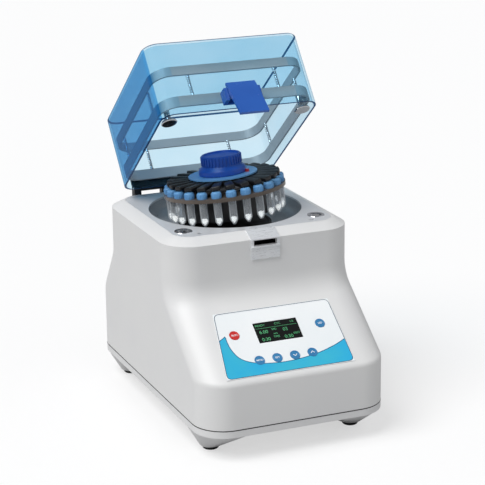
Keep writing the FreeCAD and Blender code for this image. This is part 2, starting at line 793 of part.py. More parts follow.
stator = turned("stator", [
    (S.motor_r - 17, 10.0), (S.motor_r - 2.02, 10.0), (S.motor_r - 2.02, S.motor_h - 12),
    (S.motor_r - 17, S.motor_h - 12)])
node("motor_stator", place(stator, 0.0, S.chamber_y, motor_foot_z))
rotor = turned("rotor", [
    (0.0, 1.0), (S.motor_shaft_r, 1.0), (S.motor_shaft_r, 12.0), (S.motor_r - 18, 12.0),
    (S.motor_r - 18, S.motor_h - 14), (S.motor_shaft_r, S.motor_h - 14),
    (S.motor_shaft_r, S.motor_h + 20), (0.0, S.motor_h + 20)])
node("motor_rotor", place(rotor, 0.0, S.chamber_y, motor_foot_z))
coupling = turned("coupling", [
    (S.motor_shaft_r + 0.02, 0.0), (18.0, 0.0), (18.0, 32.0), (S.shaft_r + 0.02, 32.0),
    (S.shaft_r + 0.02, 18.0), (0.0, 18.0), (0.0, 15.0), (S.motor_shaft_r + 0.02, 15.0)])
node("shaft_coupling", place(coupling, 0.0, S.chamber_y, bell_foot_z + 6))
weight_blank = turned("weight_blank", [
    (S.shaft_r + 0.02, 0.0), (33.0, 0.0), (33.0, 12.0), (S.shaft_r + 0.02, 12.0)])
place(weight_blank, 0.0, S.chamber_y, bell_foot_z + 40)
weight_relief = box(
    "weight_relief", -WIDE / 2, S.chamber_y + S.shaft_r + 4, bell_foot_z + 30, WIDE, 40.0, 40.0)
node("balance_weight", cut("weight_cut", weight_blank, weight_relief))

collar_z = bowl_under_z + 20
shaft_foot_z = bell_foot_z + 24.5
upright_shaft = cylinder(
    "upright_shaft", S.shaft_r, collar_z - shaft_foot_z + 1, 0.0, S.chamber_y, shaft_foot_z)
collar = cylinder("collar", S.collar_r, S.collar_t, 0.0, S.chamber_y, collar_z)
journal = cylinder("journal", S.shaft_r, 30.0)
journal.Placement = platter_frame.multiply(Placement(Vector(0, 0, -28), Rotation()))
node("drive_shaft", fuse("shaft_fuse", upright_shaft, collar, journal))


# ---------------------------------------------------------------- platter and tubes

bore_r = S.journal_bearing_r
drum = turned("drum", [
    (bore_r, -S.sleeve_h), (S.sleeve_r, -S.sleeve_h), (S.sleeve_r, -S.drum_wall),
    (S.drum_r - S.drum_wall, -S.drum_wall), (S.drum_r - S.drum_wall, -S.drum_h),
    (S.drum_r, -S.drum_h), (S.drum_r, -S.drum_wall - 1), (S.drum_r + 4, -S.drum_wall),
    (S.drum_r + 4, 0.0), (bore_r, 0.0)])
node("platter_drum", drum, platter_frame)
platter_bearing = turned("platter_bearing_blank", [
    (S.shaft_r + S.run_gap, 0.0), (bore_r - 0.02, 0.0), (bore_r - 0.02, 9.0),
    (S.shaft_r + S.run_gap, 9.0)])
node("platter_bearings", copies(
    "platter_bearing_set", platter_bearing, spots((0, 0, -20), (0, 0, -9.5))), platter_frame)

ring_blank = turned("ring_blank", [
    (bore_r + 2, 0.0), (S.ring_r, 0.0), (S.ring_r, S.ring_t), (bore_r + 2, S.ring_t)])
hole_blank = cylinder("tube_hole_blank", S.tube_r + 0.15, 20.0, 0.0, 0.0, -5.0)
tube_holes = copies("tube_holes", hole_blank, around(S.tube_count, S.tube_circle_r))
node("tube_ring", cut("ring_cut", ring_blank, tube_holes), platter_frame)

tube_top = cap_top - 2
inside_r = S.tube_r - S.tube_wall
cone_z = -S.tube_below + S.tube_cone_h
tube = turned("tube_blank", [
    (0.0, -S.tube_below), (S.tube_tip_r, -S.tube_below), (S.tube_r, cone_z), (S.tube_r, tube_top),
    (inside_r, tube_top), (inside_r, cone_z), (S.tube_tip_r - 0.6, -S.tube_below + 1),
    (0.0, -S.tube_below + 1)])
tube_spots = around(S.tube_count, S.tube_circle_r)
node("sample_tubes", copies("tube_set", tube, tube_spots), platter_frame)
cap = turned("cap_blank", [
    (S.tube_r + 0.1, S.ring_t), (S.cap_r, S.ring_t), (S.cap_r, cap_top - 0.8),
    (S.cap_r - 0.8, cap_top), (0.0, cap_top), (0.0, tube_top + 0.1), (S.tube_r + 0.1, tube_top + 0.1)])
node("tube_caps", copies("cap_set", cap, tube_spots), platter_frame)
beads = turned("beads_blank", [
    (0.0, -S.tube_below + 1.6), (S.tube_tip_r - 0.9, -S.tube_below + 1.6),
    (inside_r - 0.3, cone_z + 0.4), (inside_r - 0.3, cone_z + 4), (0.0, cone_z + 5)])
node("bead_charges", copies("bead_set", beads, tube_spots), platter_frame)

stud = turned("stud", [
    (0.0, S.ring_t), (bore_r + 10, S.ring_t), (bore_r + 10, S.ring_t + 4), (S.stud_r, S.ring_t + 4),
    (S.stud_r, knob_foot + 22), (0.0, knob_foot + 23)])
node("clamp_stud", stud, platter_frame)

# Hold-down star: a hub with one rounded finger over each cap
star_foot = cap_top + 0.05
star_hub = turned("star_hub", [
    (S.stud_r + 0.3, star_foot), (S.star_hub_r, star_foot), (S.star_hub_r, star_foot + S.star_t),
    (S.stud_r + 0.3, star_foot + S.star_t)])
finger_end = S.star_r - S.finger_w / 2
finger_bar = box(
    "finger_bar", S.star_hub_r - 10, S.finger_w / -2, star_foot, finger_end - S.star_hub_r + 10,
    S.finger_w, S.star_t)
finger_tip = cylinder("finger_tip", S.finger_w / 2, S.star_t, finger_end, 0.0, star_foot)
finger = fuse("finger", finger_bar, finger_tip)
fingers = solid_copies("fingers", finger, around(S.tube_count))
star_bore = cylinder("star_bore", S.stud_r + 0.3, 40.0, 0.0, 0.0, 0.0)
node("hold_down_star", cut("star_cut", fuse("star_fuse", star_hub, fingers), star_bore), platter_frame)
disc = turned("disc", [
    (S.stud_r + 0.3, disc_foot), (S.clamp_disc_r, disc_foot),
    (S.clamp_disc_r, disc_foot + S.clamp_disc_t), (S.stud_r + 0.3, disc_foot + S.clamp_disc_t)])
node("clamp_disc", disc, platter_frame)

grip = S.knob_grip_r
top_z = knob_foot + S.knob_h
knob_turned = turned("knob_turned", [
    (S.stud_r + 0.3, knob_foot + 0.05), (S.knob_base_r - 1, knob_foot + 0.05),
    (S.knob_base_r, knob_foot + 1.5), (S.knob_base_r, knob_foot + 6.5),
    (S.knob_base_r - 1.2, knob_foot + 9), (grip + 0.3, knob_foot + 12), (grip, knob_foot + 13),
    (grip, top_z - 1), (grip - 1, top_z), (grip - 2.5, top_z), (grip - 3.5, top_z - 2.5),
    (0.0, top_z - 2.5), (0.0, knob_foot + 23.8), (S.stud_r + 0.3, knob_foot + 23.8)])
groove_blank = cylinder("groove_blank", 0.9, 11.0, 0.0, 0.0, knob_foot + 13.5)
grooves = copies("grooves", groove_blank, around(S.knurl_count, S.knob_grip_r + 0.3))
node("clamp_knob", cut("knob_cut", knob_turned, grooves), platter_frame)

mark_turn = Rotation(Vector(0, 0, 1), -38)
mark_blank = box("mark_blank", S.knob_base_r + 0.3, -2.0, knob_foot + 0.05, 4.5, 4.0, 3.5)
node("index_mark", copies("mark", mark_blank, [Placement(Vector(), mark_turn)]), platter_frame)


# ---------------------------------------------------------------- lid, drawn closed about its hinge axis

lid_half = S.lid_w / 2
lid_rim = -rim_below
lid_y0 = -lid_front
lid_y1 = -S.hinge_reach
lid_block = rounded_box(
    "lid_block", -lid_half, lid_half, lid_y0, lid_y1, lid_rim, S.lid_h, S.lid_corner_r)
doc.recompute()
lid_base = lid_block.Tip
top_edges = [
    f"Edge{i}" for i, edge in enumerate(lid_base.Shape.Edges, start=1)
    if edge.BoundBox.ZMin > float(lid_rim + S.lid_h) - 1e-4]
lid_bevel = lid_block.newObject("PartDesign::Fillet", "lid_top_edge")
lid_bevel.Base = (lid_base, top_edges)
bind(lid_bevel, "Radius", S.lid_top_r)
inside = S.lid_wall
lid_hollow = rounded_box(
    "lid_hollow", -lid_half + inside, lid_half - inside, lid_y0 + inside, lid_y1 - inside,
    lid_rim - 5, S.lid_h + 5 - inside, S.lid_corner_r - inside)
node("lid_shell", cut("lid_cut", lid_block, lid_hollow), lid_frame)


def band(name, up, height):
    """A rounded strip that lines the inside of the lid."""
    margin = S.lid_wall
    outer_strip = rounded_box(
        name + "_outer", -lid_half + margin, lid_half - margin, lid_y0 + margin, lid_y1 - margin,
        lid_rim + up, height, S.band_corner_r)
    deep = margin + S.band_t
    inner_strip = rounded_box(
        name + "_inner", -lid_half + deep, lid_half - deep, lid_y0 + deep, lid_y1 - deep,
        lid_rim + up - 2, height + 4, S.band_corner_r - S.band_t)
    return cut(name + "_cut", outer_strip, inner_strip)


node("lower_band", band("lower_band_strip", S.lower_band_up, S.lower_band_h), lid_frame)
node("upper_band", band("upper_band_strip", S.upper_band_up, S.upper_band_h), lid_frame)
post_up = S.lower_band_up + S.lower_band_h
band_post = turned("band_post_blank", [
    (0.0, 0.0), (S.band_post_r, 0.0), (S.band_post_r, S.upper_band_up - post_up),
    (0.0, S.upper_band_up - post_up)])
post_in = S.lid_wall + S.band_t / 2 + 1.2
side_x = lid_half - post_in
post_places = []
for x in (-62, 62):
    post_places += [(x, lid_y1 - post_in, 0), (x, lid_y0 + post_in, 0)]
for y in (-60, -190):
    post_places += [(side_x, y, 0), (-side_x, y, 0)]
node("band_posts", copies(
    "band_post_set", band_post, spots(*[(x, y, lid_rim + post_up) for x, y, _ in post_places])),
    lid_frame)

# Hinge: brackets on the rear bevel, a leaf on the lid, a pin at each side
LEFT, RIGHT = -1, 1
leaf_x = 95.0
knuckle_in, knuckle_out = 50.0, 80.0
bracket_t = 11.0
leaf_plate = box("leaf_plate", -leaf_x, lid_y1, lid_rim + 4, leaf_x * 2, 3.0, 18.0)
leaf_parts = [leaf_plate]
pin_holes = []
for tag, side in (("left", LEFT), ("right", RIGHT)):
    start = min(side * knuckle_in, side * knuckle_out)
    leaf_parts.append(cylinder(
        f"knuckle_{tag}", S.knuckle_r, knuckle_out - knuckle_in, start, 0.0, 0.0, "x"))
    leaf_parts.append(box(
        f"web_{tag}", start, lid_y1 + 1, -S.knuckle_r / 2, knuckle_out - knuckle_in,
        S.hinge_reach - 1, S.knuckle_r))
    pin_holes.append(cylinder(
        f"leaf_bore_{tag}", S.hinge_pin_r + S.run_gap, 60.0, start - 15, 0.0, 0.0, "x"))
node("lid_hinge_leaf", cut("leaf_cut", fuse("leaf_fuse", *leaf_parts), *pin_holes), lid_frame)
pin_span = knuckle_out - knuckle_in + 2 * bracket_t
pin_blank = cylinder("pin_blank", S.hinge_pin_r, pin_span, 0.0, 0.0, 0.0, "x")
pin_starts = [-knuckle_out - bracket_t, knuckle_in - bracket_t]
node("hinge_pins", copies(
    "pin_set", pin_blank, spots(*[(x, 0, 0) for x in pin_starts])), lid_frame)

bevel_slope = (S.deck_z - S.shoulder_z) / S.shoulder_in
deck_back_y = upper_back_y - S.shoulder_in
bracket_y0 = hinge_y - S.knuckle_r
bracket_y1 = hinge_y + S.knuckle_r
bracket_outline = [
    (bracket_y0, S.deck_z - (bracket_y0 - deck_back_y) * bevel_slope),
    (bracket_y1, S.deck_z - (bracket_y1 - deck_back_y) * bevel_slope),
    (bracket_y1, hinge_z), (bracket_y0, hinge_z)]
bracket_width = bracket_t - 0.6
bracket_foot = padded("bracket_foot", bracket_outline, bracket_width, "YZ_Plane")
bracket_eye = cylinder("bracket_eye", S.knuckle_r, bracket_width, 0.0, hinge_y, hinge_z, "x")
bracket_bore = cylinder(
    "bracket_bore", S.hinge_pin_r + S.run_gap, 40.0, -10.0, hinge_y, hinge_z, "x")
bracket = cut("bracket_blank", fuse("bracket_fuse", bracket_foot, bracket_eye), bracket_bore)
bracket_starts = [
    -knuckle_out - bracket_t, -knuckle_in + 0.6, knuckle_in - bracket_t, knuckle_out + 0.6]
node("hinge_brackets", copies(
    "bracket_set", bracket, spots(*[(x, 0, 0) for x in bracket_starts])))

# Corner pads that meet the deck magnets
pad_y = S.magnet_y - hinge_y
pad_foot = S.lid_gap * 0.6 - S.hinge_up
pad_turned = turned("pad_turned", [
    (0.0, pad_foot), (S.pad_r - 1, pad_foot), (S.pad_r, pad_foot + 1), (S.pad_r - 1.5, pad_foot + 4),
    (4.0, pad_foot + 6), (4.0, 16.0), (0.0, 16.0)])
pad_arm = box("pad_arm", 0.0, -4.0, 12.0, lid_half - S.lid_wall - S.band_t - S.magnet_x, 8.0, 3.0)
pad_blank = fuse("pad_blank", pad_turned, pad_arm)
flip = Placement(Vector(-float(S.magnet_x), float(pad_y), 0), Rotation(Vector(0, 0, 1), 180))
node("lid_pads", copies("pad_set", pad_blank, spots((S.magnet_x, pad_y, 0)) + [flip]), lid_frame)

# Handle: a bracket on the lid's front face and a sprung paddle whose hook meets the latch slot
paddle_half = S.handle_w / 2
pivot_out, pivot_up = 9.0, 14.0
pivot_y = lid_y0 - pivot_out
pivot_h = lid_rim + pivot_up
ear_t = 5.0
ears = [
    box(f"ear_{i}", x, lid_y0 - 15, pivot_h - 9, ear_t, 15.0, 18.0)
    for i, x in enumerate((-paddle_half - ear_t - 0.5, paddle_half + 0.5))]
ear_plate = box(
    "ear_plate", -paddle_half - ear_t - 0.5, lid_y0 - 3, pivot_h - 9,
    S.handle_w + ear_t * 2 + 1, 3.0, 18.0)
handle_pin = cylinder(
    "handle_pin", S.handle_pin_r, S.handle_w + ear_t * 2, -paddle_half - ear_t, pivot_y, pivot_h, "x")
ear_bore = cylinder(
    "ear_bore", S.handle_pin_r + 0.02, S.handle_w + ear_t * 4, -paddle_half - ear_t * 2, pivot_y,
    pivot_h, "x")
handle_bracket = cut("handle_bracket_cut", fuse("handle_bracket_fuse", ear_plate, *ears), ear_bore)
node("handle_bracket", group("handle_bracket_set", handle_bracket, handle_pin), lid_frame)


def paddle_point(out, up):
    """A point ahead of the lid's front face and above its rim, as (y, z)."""
    return (lid_y0 - out, lid_rim + up)


paddle_skin = padded("paddle_skin", [
    paddle_point(out, up) for out, up in (
        (11, 30.5), (15, 30.5), (20, 19.5), (25, 4.5), (30, -11.5), (34, -24.5),
        (30, -25.5), (26, -12.5), (20, 2.5), (15, 16.5), (11, 24.5))],
    S.handle_w, "YZ_Plane", both_ways=True)
paddle_eye = cylinder(
    "paddle_eye", 5.0, S.handle_w, -paddle_half, pivot_y, pivot_h, "x")
paddle_web = box(
    "paddle_web", -paddle_half, lid_y0 - 18, pivot_h - 4, S.handle_w, 9.0, 9.0)
hook_half = (S.slot_w - 3) / 2
hook_z = slot_z + 1.5 - hinge_z
hook = box("hook", -hook_half, lid_y0 - 29, hook_z, hook_half * 2, 8.5, S.slot_h - 3)
paddle_bore = cylinder(
    "paddle_bore", S.handle_pin_r + S.run_gap, WIDE, -WIDE / 2, pivot_y, pivot_h, "x")
node("latch_handle", cut(
    "paddle_cut", fuse("paddle_fuse", paddle_skin, paddle_eye, paddle_web, hook), paddle_bore),
    lid_frame)

# Latch plate: stainless strip bent over the front bevel, with a slot for the hook
deck_front_y = upper_front_y + S.shoulder_in
strip = S.latch_t
latch_blank = padded("latch_blank", [
    (deck_front_y + S.deck_rim - 0.3, S.deck_z + 0.02), (deck_front_y - 0.3, S.deck_z + 0.02),
    (upper_front_y - 0.02, S.shoulder_z + 0.2), (upper_front_y - 0.02, S.deck_z - S.latch_drop),
    (upper_front_y - strip, S.deck_z - S.latch_drop), (upper_front_y - strip, S.shoulder_z + 1),
    (deck_front_y - 1, S.deck_z + strip * 0.7), (deck_front_y + S.deck_rim - 0.3, S.deck_z + strip * 0.7)],
    S.latch_w, "YZ_Plane", both_ways=True)
plate_slot = box(
    "plate_slot", S.slot_w / -2, upper_front_y - 10, slot_z, S.slot_w, 12.0, S.slot_h)
node("latch_plate", cut("latch_cut", latch_blank, plate_slot))


# ---------------------------------------------------------------- control panel, drawn on the slope

label_blank = padded("label_blank", [
    (S.label_left_foot, S.label_foot), (S.label_right_foot, S.label_foot),
    (S.label_right_head, S.label_head), (S.label_left_head, S.label_head)], S.label_t, lift=0.02)
label_window = box(
    "label_window", S.display_x - S.display_w / 2, S.display_s - S.display_h / 2, -5.0,
    S.display_w, S.display_h, 20.0)
label_holes = [
    cylinder(f"{name}_label_hole", S.key_r + S.key_gap, 20.0, x, s, -5.0)
    for name, (x, s) in KEYS.items()]
node("panel_overlay", cut("label_cut", label_blank, label_window, *label_holes), panel_frame)

board_top = -S.board_depth + S.board_t
display = box(
    "display", S.display_x - S.display_w / 2 + 0.3, S.display_s - S.display_h / 2 + 0.3,
    board_top, S.display_w - 0.6, S.display_h - 0.6, S.board_depth - S.board_t + 0.3)
node("display_module", display, panel_frame)
board = box("board", -90.0, 12.0, -S.board_depth, 165.0, 78.0, S.board_t)
switches = [
    box(f"{name}_switch", x - 3, s - 3, board_top - 0.4, 6.0, 6.0, 5.4)
    for name, (x, s) in KEYS.items()]
node("control_board", fuse("board_fuse", board, *switches), panel_frame)

for name, (x, s) in KEYS.items():
    face = cylinder(name + "_face", S.key_r, 4.0, x, s, S.label_t - 3.4)
    stem = cylinder(
        name + "_stem", 2.0, S.board_depth - S.board_t - 5 - 0.8 + S.label_t - 2, x, s,
        board_top + 5.8)
    node(name, fuse(name + "_fuse", face, stem), panel_frame)


# ---------------------------------------------------------------- electrics on the tray and at the rear

node("power_supply", box(
    "supply", -(S.foot_x - S.foot_screw_r * 1.9 - 5.75), front_y + 30, tray_floor_z, S.supply_w, S.supply_d, S.supply_h))
driver_board = box("driver_board", 10.0, front_y + 30, tray_floor_z + 6, 95.0, S.supply_d, 1.6)
driver_sink = box("driver_sink", 70.0, front_y + 34, tray_floor_z + 7, 30.0, S.supply_d - 8, 22.0)
driver_legs = [
    cylinder(f"driver_leg_{i}", 3.0, 6.5, x, front_y + y, tray_floor_z)
    for i, (x, y) in enumerate([(15, 35), (100, 35), (15, 85), (100, 85)])]
node("motor_driver", fuse("driver_fuse", driver_board, driver_sink, *driver_legs))

module_z0 = S.inlet_z - S.module_h / 2
module_plate = box(
    "module_plate", S.inlet_x - S.module_w / 2, low_back_y + 0.02, module_z0, S.module_w,
    S.module_t, S.module_h)
module_core = box(
    "module_core", S.inlet_x - S.module_w / 2 + 4.3, low_back_y - 24, module_z0 + 4.3,
    S.module_w - 8.6, 24.5, S.module_h - 8.6)
inlet_w, inlet_h, inlet_deep = 27.0, 19.0, 16.0
inlet_z0 = module_z0 + 9
inlet_recess = box(
    "inlet_recess", S.inlet_x - inlet_w / 2, low_back_y + S.module_t - inlet_deep, inlet_z0,
    inlet_w, inlet_deep + 5, inlet_h)
rocker_w, rocker_h = 14.0, 22.0
rocker_z = module_z0 + S.module_h - 18
rocker_bay = box(
    "rocker_bay", S.inlet_x - rocker_w / 2 - 0.4, low_back_y - 12, rocker_z - rocker_h / 2 - 0.4,
    rocker_w + 0.8, 30.0, rocker_h + 0.8)
inlet_blades = [
    box(f"blade_{i}", S.inlet_x + dx - 2, low_back_y + S.module_t - inlet_deep - 1,
        inlet_z0 + dz, 4.0, 13.0, 2.0)
    for i, (dx, dz) in enumerate([(-7, 6), (7, 6), (0, 12)])]
module_shell = cut(
    "module_shell", fuse("module_fuse", module_plate, module_core), inlet_recess, rocker_bay)
node("power_inlet", fuse("module_with_blades", module_shell, *inlet_blades))

rocker_rest = 8.0
rocker_y = low_back_y - 3
rocker_outline = [
    (-7.0, -4.5), (-2.0, -rocker_h / 2 + 0.6), (5.0, -rocker_h / 2 + 0.6), (4.0, 0.0),
    (5.0, rocker_h / 2 - 0.6), (-2.0, rocker_h / 2 - 0.6), (-7.0, 4.5)]
rocker_paddle = padded("rocker_paddle", rocker_outline, rocker_w - 0.4, "YZ_Plane", both_ways=True)
rocker_pin = cylinder("rocker_pin", 2.0, rocker_w + 0.4, -rocker_w / 2 - 0.2, 0.0, 0.0, "x")
rocker = fuse("rocker", rocker_paddle, rocker_pin)
rocker_frame = Placement(
    Vector(float(S.inlet_x), float(rocker_y), float(rocker_z)),
    Rotation(Vector(1, 0, 0), -rocker_rest))
node("power_rocker", rocker, rocker_frame)

fan_y1 = low_back_y - S.wall
fan_y0 = fan_y1 - S.fan_t
fan_block = box(
    "fan_block", S.fan_x - S.fan_w / 2, fan_y0, S.fan_z - S.fan_w / 2, S.fan_w, S.fan_t, S.fan_w)
fan_bore = cylinder("fan_bore", S.fan_r, 60.0, S.fan_x, fan_y0 - 20, S.fan_z, "y")
fan_boss = cylinder("fan_boss", S.fan_hub_r, 2.5, S.fan_x, fan_y0, S.fan_z, "y")
fan_struts = [
    box("fan_strut_x", S.fan_x - S.fan_r - 1, fan_y0, S.fan_z - 1.5, (S.fan_r + 1) * 2, 2.0, 3.0),
    box("fan_strut_z", S.fan_x - 1.5, fan_y0, S.fan_z - S.fan_r - 1, 3.0, 2.0, (S.fan_r + 1) * 2)]
node("fan_frame", fuse(
    "fan_fuse", cut("fan_cut", fan_block, fan_bore), fan_boss, *fan_struts))

hub_len = S.fan_t - 5
rotor_hub = cylinder("rotor_hub", S.fan_hub_r, hub_len)
blade_blank = box("blade_blank", 0.0, 0.0, 0.0, S.fan_r - S.fan_hub_r - 0.5, 1.2, hub_len)
blade_blank.Placement = Placement(
    Vector(float(S.fan_hub_r) - 1, 0, float(hub_len) / 2), Rotation(Vector(1, 0, 0), 38)
).multiply(Placement(Vector(0, -0.6, -float(hub_len) / 2), Rotation()))
blades = solid_copies("fan_blades", blade_blank, around(7))
rotor_frame = Placement(
    Vector(float(S.fan_x), float(fan_y0) + 3.2, float(S.fan_z)), Rotation(Vector(1, 0, 0), -90))
rotor_limit = cylinder("rotor_limit", S.fan_r - 1, hub_len)
rotor_blades = doc.addObject("Part::Common", "rotor_blades")
rotor_blades.Base = blades
rotor_blades.Tool = rotor_limit
node("fan_rotor", fuse("rotor_fuse", rotor_hub, rotor_blades), rotor_frame)

guard_y = low_back_y + 0.02
guard_rings = []
for i, radius in enumerate((8.0, 15.0, 22.0, 28.5)):
    ring = doc.addObject("Part::Torus", f"guard_ring_{i}")
    ring.Radius1, ring.Radius2 = radius, 1.0
    guard_rings.append(place(ring, S.fan_x, guard_y + 1, S.fan_z, TURNS["y"]))
guard_bars = [
    box("guard_bar_x", S.fan_x - 30, guard_y, S.fan_z - 1, 60.0, 2.0, 2.0),
    box("guard_bar_z", S.fan_x - 1, guard_y, S.fan_z - 30, 2.0, 2.0, 60.0)]
node("fan_guard", fuse("guard_fuse", *guard_rings, *guard_bars))


# ---------------------------------------------------------------- check and write

doc.recompute()
faults = [o.Name for o in doc.Objects if "Invalid" in o.State or "Error" in o.State]
for name, item in nodes.items():
    shape = item.Shape
    if shape.isNull() or not shape.isValid() or not shape.Solids:
        faults.append(name)
if faults:
    raise RuntimeError(f"failed pieces: {faults}")

os.makedirs("parts", exist_ok=True)
for name, item in nodes.items():
    item.Shape.exportStep(f"parts/{name}.step")
print(f"{len(nodes)} pieces written")
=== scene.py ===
import json
import math
import random

import bmesh
import bpy
from mathutils import Matrix, Vector


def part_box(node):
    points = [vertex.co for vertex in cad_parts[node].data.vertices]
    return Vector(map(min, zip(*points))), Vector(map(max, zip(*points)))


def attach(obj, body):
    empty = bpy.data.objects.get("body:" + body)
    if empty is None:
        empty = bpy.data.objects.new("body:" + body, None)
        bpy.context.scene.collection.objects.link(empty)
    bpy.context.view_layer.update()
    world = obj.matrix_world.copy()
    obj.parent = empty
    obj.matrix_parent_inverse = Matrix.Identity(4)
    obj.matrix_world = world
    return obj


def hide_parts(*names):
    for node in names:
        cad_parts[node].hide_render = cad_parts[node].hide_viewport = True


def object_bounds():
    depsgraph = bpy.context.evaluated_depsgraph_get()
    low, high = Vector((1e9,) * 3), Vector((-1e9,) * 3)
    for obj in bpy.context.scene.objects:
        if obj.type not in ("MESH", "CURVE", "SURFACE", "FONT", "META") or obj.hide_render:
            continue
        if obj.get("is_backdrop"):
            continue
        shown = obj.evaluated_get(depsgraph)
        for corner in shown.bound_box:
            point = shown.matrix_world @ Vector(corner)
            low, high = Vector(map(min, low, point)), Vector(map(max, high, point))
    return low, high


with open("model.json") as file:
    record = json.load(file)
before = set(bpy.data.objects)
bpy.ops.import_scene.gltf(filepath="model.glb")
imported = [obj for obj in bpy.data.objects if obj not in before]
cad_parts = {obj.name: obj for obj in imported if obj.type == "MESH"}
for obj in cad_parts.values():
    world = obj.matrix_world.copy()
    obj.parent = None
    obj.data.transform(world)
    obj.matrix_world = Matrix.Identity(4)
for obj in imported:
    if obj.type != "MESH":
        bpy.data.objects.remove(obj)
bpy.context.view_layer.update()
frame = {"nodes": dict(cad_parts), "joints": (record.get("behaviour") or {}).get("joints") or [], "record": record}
nodes = frame["nodes"]
joints = {joint["name"]: joint for joint in frame["joints"]}
mergeGap = 2e-6  # metres, closes the seams between a node's loose triangles
panelFootHeight = 0.1055  # metres, where the panel's own frame starts on the front
print("frame loaded,", len(nodes), "nodes")


def tone(red, green, blue):
    # screen colour 0..255 to the linear colour that shaders take
    linear = []
    for value in (red, green, blue):
        value /= 255
        linear.append(value / 12.92 if value <= 0.04045 else ((value + 0.055) / 1.055) ** 2.4)
    return (*linear, 1.0)


lidJoint = joints["lid_hinge"]
openAngle = math.radians(lidJoint["range_deg"][1])
lidPlace = Matrix.Translation(Vector(lidJoint["pos_m"])) @ Matrix.Rotation(-openAngle, 4, "X")
platterAxis = Vector(joints["platter_roll"]["axis"]).normalized()
platterPlace = (Matrix.Translation(Vector(joints["platter_roll"]["pos_m"]))
                @ Vector((0, 0, 1)).rotation_difference(platterAxis).to_matrix().to_4x4())
keyInward = Vector(joints["run_key_press"]["axis"])
panelAngle = math.atan2(keyInward.y, -keyInward.z)
panelTurn = Matrix.Rotation(panelAngle, 4, "X")
panelFoot = Vector((0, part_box("upper_housing")[0][1], panelFootHeight))
panelPlace = Matrix.Translation(panelFoot) @ panelTurn


def newMaterial(name):
    material = bpy.data.materials.new(name)
    material.use_nodes = True
    tree = material.node_tree
    return material, tree, tree.nodes["Principled BSDF"]


def addNode(tree, kind, **values):
    made = tree.nodes.new(kind)
    for key, value in values.items():
        if hasattr(made, key):
            setattr(made, key, value)
        else:
            made.inputs[key.replace("_", " ")].default_value = value
    return made


def objectCoords(tree, stretch=(1, 1, 1), turn=(0, 0, 0)):
    coords = addNode(tree, "ShaderNodeTexCoord")
    mapping = addNode(tree, "ShaderNodeMapping")
    mapping.inputs["Scale"].default_value = stretch
    mapping.inputs["Rotation"].default_value = turn
    tree.links.new(coords.outputs["Object"], mapping.inputs["Vector"])
    return mapping.outputs["Vector"]


def noise(tree, vector, scale, detail=3.0, rough=0.5):
    made = addNode(tree, "ShaderNodeTexNoise", Scale=scale, Detail=detail, Roughness=rough)
    tree.links.new(vector, made.inputs["Vector"])
    return made.outputs["Fac"]


def spread(tree, value, low, high, start=0.3, stop=0.7):
    made = addNode(tree, "ShaderNodeMapRange")
    for key, number in (("From Min", start), ("From Max", stop), ("To Min", low), ("To Max", high)):
        made.inputs[key].default_value = number
    tree.links.new(value, made.inputs["Value"])
    return made.outputs["Result"]


def blendColours(tree, factor, first, second):
    made = addNode(tree, "ShaderNodeMix", data_type="RGBA")
    made.inputs[6].default_value = first
    made.inputs[7].default_value = second
    tree.links.new(factor, made.inputs[0])
    return made.outputs[2]


def bumpFrom(tree, height, strength, distance):
    made = addNode(tree, "ShaderNodeBump", Strength=strength, Distance=distance)
    tree.links.new(height, made.inputs["Height"])
    return made.outputs["Normal"]


mouldedUsual = {
    "driftScale": 14.0, "glossScale": 60.0, "grainScale": 1400.0, "grain": 0.12,
    "grainDepth": 0.0002, "ior": 1.46, "coat": 0.0, "coatRoughness": 0.08, "paintedGlow": 0.0}


def moulded(name, changes):
    # plastic, rubber or paint: faint colour drift, uneven gloss, fine surface grain, and where given a painted
    # glow
    look = mouldedUsual | changes
    material, tree, surface = newMaterial(name)
    where = objectCoords(tree)
    drift = spread(tree, noise(tree, where, look["driftScale"]), 0.0, 1.0)
    colour = blendColours(tree, drift, look["colour"], look["second"])
    tree.links.new(colour, surface.inputs["Base Color"])
    gloss = noise(tree, where, look["glossScale"], 4.0)
    low, high = look["roughness"]
    tree.links.new(spread(tree, gloss, low, high), surface.inputs["Roughness"])
    grain = noise(tree, where, look["grainScale"], 2.0)
    tree.links.new(
        bumpFrom(tree, grain, look["grain"], look["grainDepth"]), surface.inputs["Normal"])
    surface.inputs["IOR"].default_value = look["ior"]
    surface.inputs["Coat Weight"].default_value = look["coat"]
    surface.inputs["Emission Color"].default_value = look["colour"]
    # painted light: an emission in the base colour, zero unless given
    surface.inputs["Emission Strength"].default_value = look["paintedGlow"]
    surface.inputs["Coat Roughness"].default_value = look["coatRoughness"]
    return material


metalledUsual = {
    "stretch": (1, 1, 1), "cloudScale": 25.0, "grain": 0.15, "grainDepth": 0.0001,
    "metallic": 1.0}


def metalled(name, changes):
    # metal with fine lines along one direction
    look = metalledUsual | changes
    material, tree, surface = newMaterial(name)
    lines = noise(tree, objectCoords(tree, look["stretch"]), look["lineScale"], 5.0, 0.6)
    cloud = noise(tree, objectCoords(tree), look["cloudScale"], 3.0)
    colour = blendColours(tree, spread(tree, cloud, 0.0, 1.0), look["colour"], look["second"])
    tree.links.new(colour, surface.inputs["Base Color"])
    low, high = look["roughness"]
    tree.links.new(spread(tree, lines, low, high), surface.inputs["Roughness"])
    tree.links.new(
        bumpFrom(tree, lines, look["grain"], look["grainDepth"]), surface.inputs["Normal"])
    surface.inputs["Metallic"].default_value = look["metallic"]
    return material


clearUsual = {
    "start": 0.1, "hazeScale": 18.0, "rippleScale": 9.0, "ripple": 0.05, "rippleDepth": 0.002,
    "edgeRange": (0.55, 0.97)}


